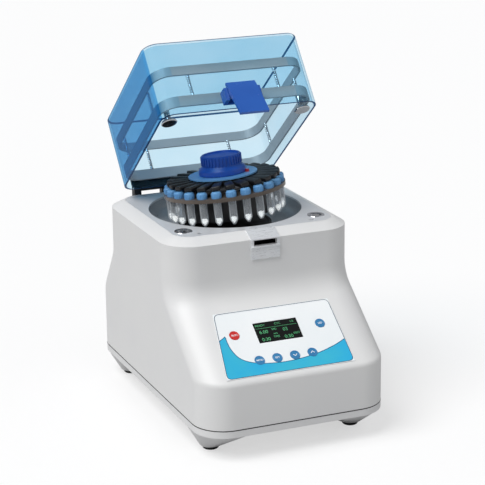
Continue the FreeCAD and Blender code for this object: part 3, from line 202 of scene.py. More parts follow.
def seeThrough(name, changes):
    # clear tinted plastic: light passes tinted, and grazing views turn to the glossy body colour
    look = clearUsual | changes
    material, tree, surface = newMaterial(name)
    where = objectCoords(tree)
    edge = addNode(tree, "ShaderNodeLayerWeight", Blend=0.5)
    haze = noise(tree, where, look["hazeScale"], 3.0)
    edgeOn = spread(tree, edge.outputs["Facing"], 0.0, 1.0, *look["edgeRange"])
    body = blendColours(tree, edgeOn, look["body"], look["edge"])
    tree.links.new(body, surface.inputs["Base Color"])
    low, high = look["roughness"]
    tree.links.new(spread(tree, haze, low, high), surface.inputs["Roughness"])
    ripple = noise(tree, where, look["rippleScale"], 1.0)
    tree.links.new(
        bumpFrom(tree, ripple, look["ripple"], look["rippleDepth"]), surface.inputs["Normal"])
    clear = addNode(tree, "ShaderNodeBsdfTransparent")
    tint = blendColours(tree, spread(tree, haze, 0.0, 1.0), look["tint"], look["tintTwo"])
    tree.links.new(tint, clear.inputs["Color"])
    amount = spread(
        tree, edge.outputs["Facing"], look["facing"], look["grazing"], look["start"], 1.0)
    mix = addNode(tree, "ShaderNodeMixShader")
    tree.links.new(amount, mix.inputs[0])
    tree.links.new(clear.outputs[0], mix.inputs[1])
    tree.links.new(surface.outputs[0], mix.inputs[2])
    output = next(n for n in tree.nodes if n.type == "OUTPUT_MATERIAL")
    tree.links.new(mix.outputs[0], output.inputs["Surface"])
    return material


finish = {
    "white_moulding": moulded("whiteMoulding", {
        "colour": tone(228, 228, 227), "second": tone(226, 226, 226), "roughness": (0.40, 0.46),
        "grain": 0.02, "grainScale": 900.0, "glossScale": 12.0, "coat": 0.06,
        "coatRoughness": 0.3}),
    "grey_moulding": moulded("greyMoulding", {
        "colour": tone(227, 227, 227), "second": tone(225, 225, 225), "roughness": (0.40, 0.48),
        "grain": 0.03, "grainScale": 900.0, "glossScale": 12.0}),
    "black_rubber": moulded("blackRubber", {
        "colour": tone(30, 30, 31), "second": tone(22, 22, 24), "roughness": (0.55, 0.75),
        "grain": 0.3, "grainScale": 700.0}),
    "black_plastic": moulded("blackPlastic", {
        "colour": tone(26, 26, 29), "second": tone(20, 20, 22), "roughness": (0.28, 0.42)}),
    "bowl_dark": metalled("bowlSteel", {
        "colour": tone(188, 191, 194), "second": tone(176, 179, 183), "roughness": (0.26, 0.36),
        "lineScale": 80.0, "stretch": (1, 1, 8), "grain": 0.03, "metallic": 0.45}),
    "band_grey": moulded("bandGrey", {
        "colour": tone(182, 186, 190), "second": tone(172, 177, 182), "roughness": (0.3, 0.42)}),
    "handle_blue": moulded("handleBlue", {
        "colour": tone(36, 96, 186), "second": tone(28, 84, 172), "roughness": (0.18, 0.28),
        "coat": 0.3}),
    "knob_blue": moulded("knobBlue", {
        "colour": tone(26, 84, 178), "second": tone(20, 74, 166), "roughness": (0.3, 0.42)}),
    "pale_blue": moulded("paleBlue", {
        "colour": tone(112, 168, 216), "second": tone(98, 156, 208), "roughness": (0.3, 0.42)}),
    # painted light: the beads glow so they stay bright in the shade inside the tubes
    "bead_white": moulded("beadWhite", {
        "colour": tone(250, 250, 248), "second": tone(240, 240, 238), "roughness": (0.3, 0.45),
        "paintedGlow": 0.45}),
    "mark_red": moulded("markRed", {
        "colour": tone(206, 52, 44), "second": tone(196, 44, 40), "roughness": (0.3, 0.4)}),
    "key_red": moulded("keyRed", {
        "colour": tone(214, 48, 42), "second": tone(200, 40, 38), "roughness": (0.22, 0.32),
        "coat": 0.4}),
    "key_blue": moulded("keyBlue", {
        "colour": tone(58, 134, 186), "second": tone(50, 122, 174), "roughness": (0.22, 0.32),
        "coat": 0.4}),
    "label_print": moulded("labelFilm", {
        "colour": tone(246, 249, 250), "second": tone(240, 245, 247), "roughness": (0.3, 0.4),
        "grain": 0.08}),
    "display_dark": moulded("displayDark", {
        "colour": tone(10, 14, 12), "second": tone(6, 9, 8), "roughness": (0.08, 0.14),
        "grain": 0.01}),
    "board_green": moulded("boardGreen", {
        "colour": tone(20, 92, 48), "second": tone(14, 78, 40), "roughness": (0.3, 0.5)}),
    "plated_steel": metalled("platedSteel", {
        "colour": tone(226, 228, 232), "second": tone(212, 215, 220), "roughness": (0.08, 0.16),
        "lineScale": 300.0, "grain": 0.03}),
    "magnet_nickel": metalled("magnetNickel", {
        "colour": tone(214, 214, 214), "second": tone(198, 198, 200), "roughness": (0.12, 0.22),
        "lineScale": 300.0, "grain": 0.04}),
    "deck_metal": metalled("deckMetal", {
        "colour": tone(232, 234, 237), "second": tone(224, 227, 231), "roughness": (0.32, 0.42),
        "lineScale": 60.0, "stretch": (1, 14, 1), "grain": 0.03, "metallic": 0.35}),
    "machined_steel": metalled("machinedSteel", {
        "colour": tone(226, 228, 231), "second": tone(212, 215, 219), "roughness": (0.26, 0.40),
        "lineScale": 90.0, "stretch": (1, 12, 12), "grain": 0.10, "metallic": 0.75}),
    "cast_alloy": metalled("castAlloy", {
        "colour": tone(186, 188, 192), "second": tone(168, 171, 176), "roughness": (0.4, 0.6),
        "lineScale": 500.0, "grain": 0.3}),
    "winding_copper": metalled("windingCopper", {
        "colour": tone(200, 120, 70), "second": tone(180, 100, 56), "roughness": (0.3, 0.5),
        "lineScale": 120.0, "stretch": (1, 1, 10), "grain": 0.3}),
    "lid_blue": seeThrough("lidBlue", {
        "body": tone(120, 200, 236), "edge": tone(44, 122, 186), "tint": tone(234, 247, 253),
        "tintTwo": tone(229, 245, 252), "roughness": (0.03, 0.07), "facing": 0.03,
        "grazing": 0.42, "start": 0.5}),
    "clear_tube": seeThrough("clearTube", {
        "body": tone(240, 244, 247), "edge": tone(205, 212, 218), "tint": tone(252, 253, 254),
        "tintTwo": tone(248, 250, 252), "roughness": (0.10, 0.18), "facing": 0.13,
        "grazing": 0.75, "start": 0.35}),
    "ring_smoke": seeThrough("ringSmoke", {
        "body": tone(132, 122, 114), "edge": tone(98, 90, 84), "tint": tone(190, 176, 164),
        "tintTwo": tone(180, 168, 156), "roughness": (0.08, 0.16), "facing": 0.45,
        "grazing": 0.95}),
}
latchSteel = metalled("latchSteel", {
    "colour": tone(236, 238, 240), "second": tone(226, 228, 231), "roughness": (0.24, 0.36),
    "lineScale": 90.0, "stretch": (1, 12, 12), "grain": 0.08, "metallic": 0.35})
# painted shade: a dark blue for the lid's rim and rounded top edge
lidEdgePaintedShade = seeThrough("lidEdgePaintedShade", {
    "body": tone(26, 70, 118), "edge": tone(12, 44, 84), "tint": tone(70, 120, 170),
    "tintTwo": tone(58, 108, 160), "roughness": (0.05, 0.1), "facing": 0.6, "grazing": 0.95})
# painted shade: a deeper blue for the lid's left side wall, which is the same plastic as the rest
lidSidePaintedShade = seeThrough("lidSidePaintedShade", {
    "body": tone(40, 132, 200), "edge": tone(18, 78, 132), "tint": tone(138, 200, 236),
    "tintTwo": tone(126, 192, 232), "roughness": (0.03, 0.07), "facing": 0.10, "grazing": 0.6,
    "start": 0.3})
inkCyan = moulded("inkCyan", {
    "colour": tone(36, 176, 228), "second": tone(62, 188, 214), "roughness": (0.3, 0.4),
    "driftScale": 16.0, "grain": 0.04})
inkNavy = moulded("inkNavy", {
    "colour": tone(52, 76, 104), "second": tone(44, 66, 94), "roughness": (0.35, 0.45),
    "grain": 0.04})
inkTeal = moulded("inkTeal", {
    "colour": tone(34, 108, 150), "second": tone(28, 96, 138), "roughness": (0.35, 0.45),
    "grain": 0.04})
inkWhite = moulded("inkWhite", {
    "colour": tone(246, 248, 250), "second": tone(238, 242, 246), "roughness": (0.35, 0.45),
    "grain": 0.04})
screenGreen = moulded("screenGreen", {
    "colour": tone(96, 190, 130), "second": tone(80, 172, 116), "roughness": (0.3, 0.4),
    "grain": 0.02})
print("finishes made for", len(finish), "slots, and the inks")


flatAngle = 0.6  # degrees, neighbouring faces flatter than this become one


def meshOf(name):
    # the node's own mesh, merged, as a new object
    source = nodes[name]
    mesh = source.data.copy()
    tidy = bmesh.new()
    tidy.from_mesh(mesh)
    bmesh.ops.remove_doubles(tidy, verts=tidy.verts, dist=mergeGap)
    bmesh.ops.dissolve_limit(
        tidy, angle_limit=math.radians(flatAngle), verts=tidy.verts, edges=tidy.edges)
    tidy.to_mesh(mesh)
    tidy.free()
    made = bpy.data.objects.new(name + "_look", mesh)
    bpy.context.scene.collection.objects.link(made)
    return made


def shadeByAngle(item, degrees):
    mesh = item.data
    work = bmesh.new()
    work.from_mesh(mesh)
    limit = math.radians(degrees)
    for face in work.faces:
        face.smooth = True
    for edge in work.edges:
        edge.smooth = len(edge.link_faces) == 2 and edge.calc_face_angle(9.0) < limit
    work.to_mesh(mesh)
    work.free()


def dress(item, material, body):
    item.data.materials.clear()
    item.data.materials.append(material)
    for face in item.data.polygons:
        face.material_index = 0
    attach(item, body)
    return item


bodyOf = {}
for body, members in frame["record"]["behaviour"]["bodies"].items():
    for member in members:
        bodyOf[member] = body
slotOf = {entry["node"]: entry["material_slot"] for entry in frame["record"]["subparts"]}

# where the lid's painted shade goes: rim faces, rounded top edge, left side wall
lidShadeMasks = {"rimDepth": 0.0002, "sideFacing": 0.9, "roundedLow": 0.25, "roundedHigh": 0.97}


def paintLidShade(item):
    # painted shade: the rim and the rounded top edge get a dark blue and the left side wall a deeper blue, though
    # the clear shell is one even tint and only looks darker there by the light it bends and reflects
    item.data.materials.append(lidEdgePaintedShade)
    item.data.materials.append(lidSidePaintedShade)
    edgeShadeIndex, sideShadeIndex = 1, 2
    back = lidPlace.inverted()
    turnBack = back.to_3x3()
    rim = min((back @ corner.co).z for corner in item.data.vertices)
    for face in item.data.polygons:
        normal = turnBack @ face.normal
        centre = back @ face.center
        if abs(centre.z - rim) < lidShadeMasks["rimDepth"]:
            face.material_index = edgeShadeIndex
        elif lidShadeMasks["roundedLow"] < normal.z < lidShadeMasks["roundedHigh"]:
            face.material_index = edgeShadeIndex
        # painted shade on the left side wall only
        elif normal.x < -lidShadeMasks["sideFacing"] and centre.x < 0:
            face.material_index = sideShadeIndex


shadeAngles = {  # degrees, sharper edges than this stay crisp
    "upper_housing": 32,
    "base_tray": 32,
    "rubber_feet": 32,
    "deck_plate": 30,
    "chamber_bowl": 45,
    "rubber_boot": 45,
    "magnet_cups": 40,
    "deck_magnets": 40,
    "latch_plate": 20,
    "platter_drum": 45,
    "tube_ring": 30,
    "clamp_disc": 30,
    "lid_shell": 30,
    "lower_band": 30,
    "upper_band": 30,
    "latch_handle": 30,
    "handle_bracket": 30,
    "lid_hinge_leaf": 30,
    "hinge_brackets": 30,
    "lid_pads": 35,
    "fan_guard": 50,
    "power_rocker": 30,
}
for name, degrees in shadeAngles.items():
    item = meshOf(name)
    shadeByAngle(item, degrees)
    dress(item, latchSteel if name == "latch_plate" else finish[slotOf[name]], bodyOf[name])
    if name == "lid_shell":
        paintLidShade(item)
    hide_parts(name)
rebuilt = ("sample_tubes", "tube_caps", "bead_charges", "hold_down_star", "clamp_knob",
           "band_posts")
for name, node in nodes.items():
    if name not in shadeAngles and name not in rebuilt and not name.endswith("_key"):
        for i in range(len(node.material_slots)):
            node.material_slots[i].material = finish[slotOf[name]]
print("nodes dressed")


def pieceFrom(name, work, place, material, ridesOn, slot, *replaced, smooth=35):
    # a finished object from a bmesh in millimetres, put in its place
    bmesh.ops.remove_doubles(work, verts=work.verts, dist=1e-4)
    bmesh.ops.recalc_face_normals(work, faces=work.faces)
    bmesh.ops.transform(work, matrix=place @ Matrix.Scale(0.001, 4), verts=work.verts)
    mesh = bpy.data.meshes.new(name)
    work.to_mesh(mesh)
    work.free()
    item = bpy.data.objects.new(name, mesh)
    bpy.context.scene.collection.objects.link(item)
    shadeByAngle(item, smooth)
    dress(item, material, ridesOn)
    if replaced:
        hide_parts(*replaced)
    return item


def lathe(profile, steps=48):
    # a body of revolution about Z from (radius, height) points, which start and end on the axis
    # or come back to the first point
    work = bmesh.new()
    rings = []
    for radius, height in profile:
        if radius < 1e-6:
            rings.append([work.verts.new((0, 0, height))])
            continue
        ring = []
        for i in range(steps):
            angle = 2 * math.pi * i / steps
            spot = (radius * math.cos(angle), radius * math.sin(angle), height)
            ring.append(work.verts.new(spot))
        rings.append(ring)
    for first, second in zip(rings, rings[1:]):
        for i in range(steps):
            j = (i + 1) % steps
            corners = [first[i % len(first)], first[j % len(first)],
                       second[j % len(second)], second[i % len(second)]]
            corners = list(dict.fromkeys(corners))
            if len(corners) > 2:
                work.faces.new(corners)
    return work


def roundedBar(size, bevel, segments=2):
    # a block centred on the origin with softened edges
    work = bmesh.new()
    bmesh.ops.create_cube(work, size=1.0)
    bmesh.ops.scale(work, vec=size, verts=work.verts)
    bmesh.ops.bevel(work, geom=work.edges[:], offset=bevel, segments=segments, affect="EDGES",
                    profile=0.5)
    return work


def sheetOf(points, low, high):
    # a thin closed slab from an outline of (across, up) points
    work = bmesh.new()
    face = work.faces.new([work.verts.new((x, y, low)) for x, y in points])
    grown = bmesh.ops.extrude_face_region(work, geom=[face])
    top = [part for part in grown["geom"] if isinstance(part, bmesh.types.BMVert)]
    bmesh.ops.translate(work, vec=(0, 0, high - low), verts=top)
    bmesh.ops.triangulate(work, faces=work.faces[:])
    return work


def strip(points, width, low, high, closed=False):
    # a printed line of even width that follows points
    work = bmesh.new()
    count = len(points)
    rows = []
    for i, point in enumerate(points):
        before = points[i - 1] if closed or i else points[0]
        after = points[(i + 1) % count] if closed or i < count - 1 else points[-1]
        along = (Vector(after) - Vector(before)).normalized()
        side = Vector((-along.y, along.x)) * width / 2
        here = Vector(point)
        rows.append([work.verts.new((*(here + side * k), z))
                     for k, z in ((1, low), (-1, low), (-1, high), (1, high))])
    last = count if closed else count - 1
    for i in range(last):
        first, second = rows[i], rows[(i + 1) % count]
        for k in range(4):
            work.faces.new([first[k], first[(k + 1) % 4], second[(k + 1) % 4], second[k]])
    if not closed:
        work.faces.new(rows[0])
        work.faces.new(rows[-1][::-1])
    return work


def joined(*works):
    # several bmeshes as one
    whole = works[0]
    for other in works[1:]:
        mesh = bpy.data.meshes.new("part")
        other.to_mesh(mesh)
        other.free()
        whole.from_mesh(mesh)
        bpy.data.meshes.remove(mesh)
    return whole


def movedBy(work, matrix):
    bmesh.ops.transform(work, matrix=matrix, verts=work.verts)
    return work


def ringTree():
    # copies of one object evenly round Z, each turned to face outwards
    tree = bpy.data.node_groups.new("ringOfCopies", "GeometryNodeTree")
    face = tree.interface
    face.new_socket("Copied", in_out="INPUT", socket_type="NodeSocketObject")
    face.new_socket("Count", in_out="INPUT", socket_type="NodeSocketInt")
    face.new_socket("Radius", in_out="INPUT", socket_type="NodeSocketFloat")
    face.new_socket("Finish", in_out="INPUT", socket_type="NodeSocketMaterial")
    face.new_socket("Geometry", in_out="OUTPUT", socket_type="NodeSocketGeometry")
    make, link = tree.nodes.new, tree.links.new
    given, out = make("NodeGroupInput"), make("NodeGroupOutput")
    ring = make("GeometryNodeMeshCircle")
    copied = make("GeometryNodeObjectInfo")
    copied.inputs["As Instance"].default_value = True
    place = make("GeometryNodeInstanceOnPoints")
    step, turn = make("ShaderNodeMath"), make("ShaderNodeMath")
    step.operation, turn.operation = "DIVIDE", "MULTIPLY"
    step.inputs[0].default_value = 2 * math.pi
    number, spin = make("GeometryNodeInputIndex"), make("ShaderNodeCombineXYZ")
    real, paint = make("GeometryNodeRealizeInstances"), make("GeometryNodeSetMaterial")
    link(given.outputs["Copied"], copied.inputs["Object"])
    link(given.outputs["Count"], ring.inputs["Vertices"])
    link(given.outputs["Radius"], ring.inputs["Radius"])
    link(given.outputs["Count"], step.inputs[1])
    link(step.outputs[0], turn.inputs[0])
    link(number.outputs[0], turn.inputs[1])
    link(turn.outputs[0], spin.inputs["Z"])
    link(ring.outputs["Mesh"], place.inputs["Points"])
    link(copied.outputs["Geometry"], place.inputs["Instance"])
    link(spin.outputs[0], place.inputs["Rotation"])
    link(place.outputs["Instances"], real.inputs[0])
    link(real.outputs[0], paint.inputs["Geometry"])
    link(given.outputs["Finish"], paint.inputs["Material"])
    link(paint.outputs[0], out.inputs["Geometry"])
    return tree


def coilTree():
    # a wire wound round Z
    tree = bpy.data.node_groups.new("woundWire", "GeometryNodeTree")
    face = tree.interface
    for key in ("Turns", "Radius", "Height", "Wire"):
        face.new_socket(key, in_out="INPUT", socket_type="NodeSocketFloat")
    face.new_socket("Finish", in_out="INPUT", socket_type="NodeSocketMaterial")
    face.new_socket("Geometry", in_out="OUTPUT", socket_type="NodeSocketGeometry")
    make, link = tree.nodes.new, tree.links.new
    given, out = make("NodeGroupInput"), make("NodeGroupOutput")
    spiral, wire = make("GeometryNodeCurveSpiral"), make("GeometryNodeCurvePrimitiveCircle")
    spiral.inputs["Resolution"].default_value = 14  # points in a turn
    wire.inputs["Resolution"].default_value = 6  # sides of the wire
    skin = make("GeometryNodeCurveToMesh")
    skin.inputs["Fill Caps"].default_value = True
    real, paint = make("GeometryNodeRealizeInstances"), make("GeometryNodeSetMaterial")
    link(given.outputs["Turns"], spiral.inputs["Rotations"])
    link(given.outputs["Radius"], spiral.inputs["Start Radius"])
    link(given.outputs["Radius"], spiral.inputs["End Radius"])
    link(given.outputs["Height"], spiral.inputs["Height"])
    link(given.outputs["Wire"], wire.inputs["Radius"])
    link(spiral.outputs[0], skin.inputs["Curve"])
    link(wire.outputs[0], skin.inputs["Profile Curve"])
    link(skin.outputs[0], real.inputs[0])
    link(real.outputs[0], paint.inputs["Geometry"])
    link(given.outputs["Finish"], paint.inputs["Material"])
    link(paint.outputs[0], out.inputs["Geometry"])
    return tree


def grownMesh(tree, values):
    # the tree's result as a plain mesh
    host = bpy.data.objects.new("host", bpy.data.meshes.new("host"))
    bpy.context.scene.collection.objects.link(host)
    grow = host.modifiers.new("grow", "NODES")
    grow.node_group = tree
    for socket in tree.interface.items_tree:
        if socket.in_out == "INPUT" and socket.name in values:
            grow[socket.identifier] = values[socket.name]
    view = bpy.context.evaluated_depsgraph_get()
    mesh = bpy.data.meshes.new_from_object(host.evaluated_get(view))
    host.modifiers.remove(grow)
    bpy.data.objects.remove(host)
    return mesh


rings, coils = ringTree(), coilTree()


def ringOf(work, count, radius, material):
    # a bmesh of copies of another bmesh evenly round Z
    mesh = bpy.data.meshes.new("copied")
    work.to_mesh(mesh)
    work.free()
    source = bpy.data.objects.new("copied", mesh)
    bpy.context.scene.collection.objects.link(source)
    made = grownMesh(rings, {
        "Copied": source, "Count": count, "Radius": radius, "Finish": material})
    bpy.data.objects.remove(source)
    result = bmesh.new()
    result.from_mesh(made)
    bpy.data.meshes.remove(made)
    return result


def islandsOf(name, place):
    # lowest and highest corner of each separate solid of a node, in a local frame, millimetres,
    # in order of place, so that every run gives the same list
    work = bmesh.new()
    work.from_mesh(nodes[name].data)
    bmesh.ops.remove_doubles(work, verts=work.verts, dist=mergeGap)
    back = place.inverted()
    unseen = set(work.verts)
    found = []
    while unseen:
        stack = [unseen.pop()]
        spots = []
        while stack:
            vert = stack.pop()
            spots.append(back @ vert.co * 1000)
            for edge in vert.link_edges:
                other = edge.other_vert(vert)
                if other in unseen:
                    unseen.remove(other)
                    stack.append(other)
        found.append((Vector(map(min, zip(*spots))), Vector(map(max, zip(*spots)))))
    work.free()
    return sorted(found, key=lambda box: tuple(round(value, 3) for value in box[0]))


def spanOf(name, place):
    parts = islandsOf(name, place)
    return (Vector(map(min, zip(*[low for low, high in parts]))),
            Vector(map(max, zip(*[high for low, high in parts]))))


tubeBoxes = islandsOf("tube_caps", platterPlace)
tubeCount = len(tubeBoxes)
capLow, capHigh = tubeBoxes[0]
capRadius = (capHigh.x - capLow.x) / 2
tubeCircle = max(((low + high) / 2).xy.length for low, high in tubeBoxes)
tubeLow, tubeHigh = spanOf("sample_tubes", platterPlace)

capLook = {"ribs": 20, "rib": (1.2, 0.9), "ribInset": 0.45, "topRound": 0.9, "sides": 24}
capHeight = capHigh.z - capLow.z
capBody = lathe([
    (0, capLow.z), (capRadius - 0.5, capLow.z), (capRadius - capLook["ribInset"], capHigh.z - 1.6),
    (capRadius - 0.8, capHigh.z - capLook["topRound"]), (capRadius - 1.6, capHigh.z - 0.15),
    (capRadius - 2.2, capHigh.z), (0, capHigh.z)], capLook["sides"])
capRib = movedBy(
    roundedBar((capLook["rib"][0], capLook["rib"][1], capHeight - 2.6), 0.25, 1),
    Matrix.Translation((0, 0, capLow.z + capHeight / 2 - 0.9)))
capRibs = ringOf(
    capRib, capLook["ribs"], capRadius - capLook["ribInset"], finish["pale_blue"])
capWhole = joined(capBody, capRibs)
pieceFrom("ribbed_caps", ringOf(capWhole, tubeCount, tubeCircle, finish["pale_blue"]),
          platterPlace, finish["pale_blue"], bodyOf["tube_caps"], slotOf["tube_caps"], "tube_caps")

tubeLook = {"radius": 5.4, "wall": 0.8, "cone": 6.5, "tip": 2.3, "sides": 20}
outside, tipZ = tubeLook["radius"], tubeLow.z
inside = outside - tubeLook["wall"]
coneZ = tipZ + tubeLook["cone"]
tubeWork = lathe([
    (0, tipZ), (1.1, tipZ + 0.15), (tubeLook["tip"], tipZ + 0.9), (outside - 0.15, coneZ - 0.5),
    (outside, coneZ + 0.6), (outside, tubeHigh.z), (inside, tubeHigh.z), (inside, coneZ + 0.8),
    (inside - 0.15, coneZ - 0.2), (tubeLook["tip"] - 0.6, tipZ + 1.6), (0, tipZ + 1.2)],
    tubeLook["sides"])
pieceFrom("clear_tubes", ringOf(tubeWork, tubeCount, tubeCircle, finish["clear_tube"]),
          platterPlace, finish["clear_tube"], bodyOf["sample_tubes"], slotOf["sample_tubes"],
          "sample_tubes", smooth=60)

beadLook = {"seed": 7, "count": 46, "radius": 0.95, "foot": 2.2, "fill": 3.6, "spacing": 1.45,
            "tries": 6000}
dice = random.Random(beadLook["seed"])
pile = bmesh.new()
placed = []
for attempt in range(beadLook["tries"]):
    if len(placed) == beadLook["count"]:
        break
    height = dice.uniform(tipZ + beadLook["foot"], coneZ + beadLook["fill"])
    room = min(inside, tubeLook["tip"] + (height - tipZ)
               * (outside - tubeLook["tip"]) / tubeLook["cone"] - tubeLook["wall"])
    reach = max(0.0, room - beadLook["radius"] - 0.1)
    angle, out = dice.uniform(0, 2 * math.pi), reach * math.sqrt(dice.random())
    spot = Vector((out * math.cos(angle), out * math.sin(angle), height))
    if all((spot - other).length > beadLook["radius"] * beadLook["spacing"] for other in placed):
        placed.append(spot)
for spot in placed:
    bmesh.ops.create_icosphere(
        pile, subdivisions=1, radius=beadLook["radius"], matrix=Matrix.Translation(spot))
pieceFrom("glass_beads", ringOf(pile, tubeCount, tubeCircle, finish["bead_white"]),
          platterPlace, finish["bead_white"], bodyOf["bead_charges"], slotOf["bead_charges"],
          "bead_charges", smooth=80)
print("tubes, caps and beads made:", tubeCount)

starLow, starHigh = spanOf("hold_down_star", platterPlace)
starLook = {"hub": 47.0, "finger": (34.0, 12.4), "lean": 7.0, "bore": 6.4}
starReach = (starHigh.x - starLow.x) / 2
starThick = starHigh.z - starLow.z
starHub = lathe([
    (starLook["bore"], starLow.z + 0.2), (starLook["hub"], starLow.z + 0.2),
    (starLook["hub"], starHigh.z - 1.0), (starLook["hub"] - 1, starHigh.z),
    (starLook["bore"], starHigh.z), (starLook["bore"], starLow.z + 0.2)])
fingerWork = roundedBar((starLook["finger"][0], starLook["finger"][1], starThick - 1.6), 1.6, 3)
movedBy(fingerWork, Matrix.Translation((starReach - starLook["finger"][0] / 2, 0,
                                        (starLow.z + starHigh.z) / 2 + 0.1))
        @ Matrix.Rotation(math.radians(starLook["lean"]), 4, "X"))
starWork = joined(starHub, ringOf(fingerWork, tubeCount, 0.0, finish["black_plastic"]))
pieceFrom("finger_star", starWork, platterPlace, finish["black_plastic"],
          bodyOf["hold_down_star"], slotOf["hold_down_star"], "hold_down_star")

knobLow, knobHigh = spanOf("clamp_knob", platterPlace)
knobLook = {"ribs": 36, "grip": 26.9, "rib": (2.6, 2.1), "bore": 6.4, "dish": 2.4, "waist": 12.5,
            "sides": 80}
knobBase = (knobHigh.x - knobLow.x) / 2
foot, head = knobLow.z, knobHigh.z
grip = knobLook["grip"]
waistZ = foot + knobLook["waist"]
knobWork = lathe([
    (knobLook["bore"], foot), (knobBase - 1, foot), (knobBase, foot + 0.8), (knobBase, foot + 5.6),
    (knobBase - 0.5, foot + 7.4), (knobBase - 1.8, foot + 9.0), (grip + 1.3, waistZ - 1.2),
    (grip + 0.5, waistZ), (grip, waistZ + 0.8), (grip, head - 1.2), (grip - 0.4, head - 0.3),
    (grip - 1.4, head), (grip - 2.4, head - 0.4), (grip - 3.2, head - knobLook["dish"]),
    (6.0, head - knobLook["dish"] - 0.5), (0, head - knobLook["dish"] - 0.5),
    (0, head - 4.0), (knobLook["bore"], head - 4.0), (knobLook["bore"], foot)],
    knobLook["sides"])
ribWork = movedBy(
    roundedBar((knobLook["rib"][0], knobLook["rib"][1], head - waistZ - 2.6), 0.5, 2),
    Matrix.Translation((0, 0, (head + waistZ) / 2 - 0.3)))
knobWhole = joined(knobWork, ringOf(ribWork, knobLook["ribs"], grip + 0.1, finish["knob_blue"]))
pieceFrom("ribbed_knob", knobWhole, platterPlace, finish["knob_blue"], bodyOf["clamp_knob"],
          slotOf["clamp_knob"], "clamp_knob")
print("star and knob made")

postLook = {"core": 0.9, "wire": 0.7, "turns": 9.0}
postWork = bmesh.new()
for low, high in islandsOf("band_posts", lidPlace):
    middle = (low + high) / 2
    radius = (high.x - low.x) / 2
    wound = grownMesh(coils, {
        "Turns": postLook["turns"], "Radius": radius - postLook["wire"],
        "Height": high.z - low.z - 1.6, "Wire": postLook["wire"],
        "Finish": finish["plated_steel"]})
    wire = bmesh.new()
    wire.from_mesh(wound)
    core = lathe([
        (0, 0), (radius - 0.4, 0), (radius - 0.4, 1.0), (postLook["core"], 1.2),
        (postLook["core"], high.z - low.z - 1.2), (radius - 0.4, high.z - low.z - 1.0),
        (radius - 0.4, high.z - low.z), (0, high.z - low.z)], 12)
    movedBy(wire, Matrix.Translation((0, 0, 0.8)))
    postWork = joined(postWork, movedBy(
        joined(core, wire), Matrix.Translation((middle.x, middle.y, low.z))))
pieceFrom("wound_posts", postWork, lidPlace, finish["plated_steel"], bodyOf["band_posts"],
          slotOf["band_posts"], "band_posts", smooth=50)
print("band posts made")

labelBack = panelPlace.inverted()
labelSpots = [labelBack @ vert.co * 1000 for vert in nodes["panel_overlay"].data.vertices]
labelTop = max(spot.z for spot in labelSpots)
footLine = [spot for spot in labelSpots if spot.y < min(s.y for s in labelSpots) + 0.1]
headLine = [spot for spot in labelSpots if spot.y > max(s.y for s in labelSpots) - 0.1]
labelCorners = [
    min(footLine, key=lambda s: s.x).xy, max(footLine, key=lambda s: s.x).xy,
    max(headLine, key=lambda s: s.x).xy, min(headLine, key=lambda s: s.x).xy]
inkLook = {
    "thick": 0.07, "margin": 0.9, "line": 0.8, "round": 7.0,
    "wave": [(-80, 73), (-79, 54), (-70, 36), (-48, 26), (-12, 22.5), (28, 26.5), (58, 34.5)],
    "waveFoot": 67.5, "waveEnd": 43.0, "waveLine": 1.1}


def insetCorners(corners, inset):
    lines = []
    for i, corner in enumerate(corners):
        along = (corners[(i + 1) % 4] - corner).normalized()
        lines.append((corner + Vector((-along.y, along.x)) * inset, along))
    moved = []
    for i in range(4):
        (p, u), (q, v) = lines[i - 1], lines[i]
        moved.append(p + u * ((q - p).cross(v) / u.cross(v)))
    return moved


def roundCorner(before, corner, after, radius, steps=6):
    start = corner + (before - corner).normalized() * radius
    end = corner + (after - corner).normalized() * radius
    points = []
    for i in range(steps + 1):
        t = i / steps
        points.append(start * (1 - t) ** 2 + corner * 2 * t * (1 - t) + end * t * t)
    return points


def smoothLine(points, steps=6):
    # a smooth line through points
    line = []
    padded = [points[0]] + list(points) + [points[-1]]
    for a, b, c, d in zip(padded, padded[1:], padded[2:], padded[3:]):
        a, b, c, d = Vector(a), Vector(b), Vector(c), Vector(d)
        for i in range(steps):
            t = i / steps
            line.append(0.5 * (2 * b + (c - a) * t + (2 * a - 5 * b + 4 * c - d) * t * t
                               + (3 * b - a - 3 * c + d) * t ** 3))
    line.append(Vector(points[-1]))
    return line


inkLow, inkHigh = labelTop + 0.01, labelTop + 0.01 + inkLook["thick"]
edgeCorners = insetCorners(labelCorners, inkLook["margin"])
frameLine = []
for i in range(4):
    frameLine += roundCorner(
        edgeCorners[i - 1], edgeCorners[i], edgeCorners[(i + 1) % 4], inkLook["round"])
pieceFrom("label_outline", strip(frameLine, inkLook["line"], inkLow, inkHigh, closed=True),
          panelPlace, inkNavy, bodyOf["panel_overlay"], slotOf["panel_overlay"])


def onEdge(foot, head, up):
    return foot + (head - foot) * ((up - foot.y) / (head.y - foot.y))


innerCorners = insetCorners(labelCorners, inkLook["margin"] + inkLook["line"] / 2)
leftStart = onEdge(innerCorners[0], innerCorners[3], inkLook["waveFoot"])
rightEnd = onEdge(innerCorners[1], innerCorners[2], inkLook["waveEnd"])
waveLine = smoothLine([Vector(point) for point in inkLook["wave"]] + [rightEnd])
waveArea = ([leftStart] + waveLine
            + roundCorner(rightEnd, innerCorners[1], innerCorners[0], inkLook["round"] - 1)
            + roundCorner(innerCorners[1], innerCorners[0], leftStart, inkLook["round"] - 1))
pieceFrom("label_wave", sheetOf(waveArea, inkLow, inkHigh - 0.02), panelPlace, inkCyan,
          bodyOf["panel_overlay"], slotOf["panel_overlay"])
pieceFrom("label_wave_line",
          strip([leftStart] + waveLine, inkLook["waveLine"], inkLow, inkHigh),
          panelPlace, inkTeal, bodyOf["panel_overlay"], slotOf["panel_overlay"])


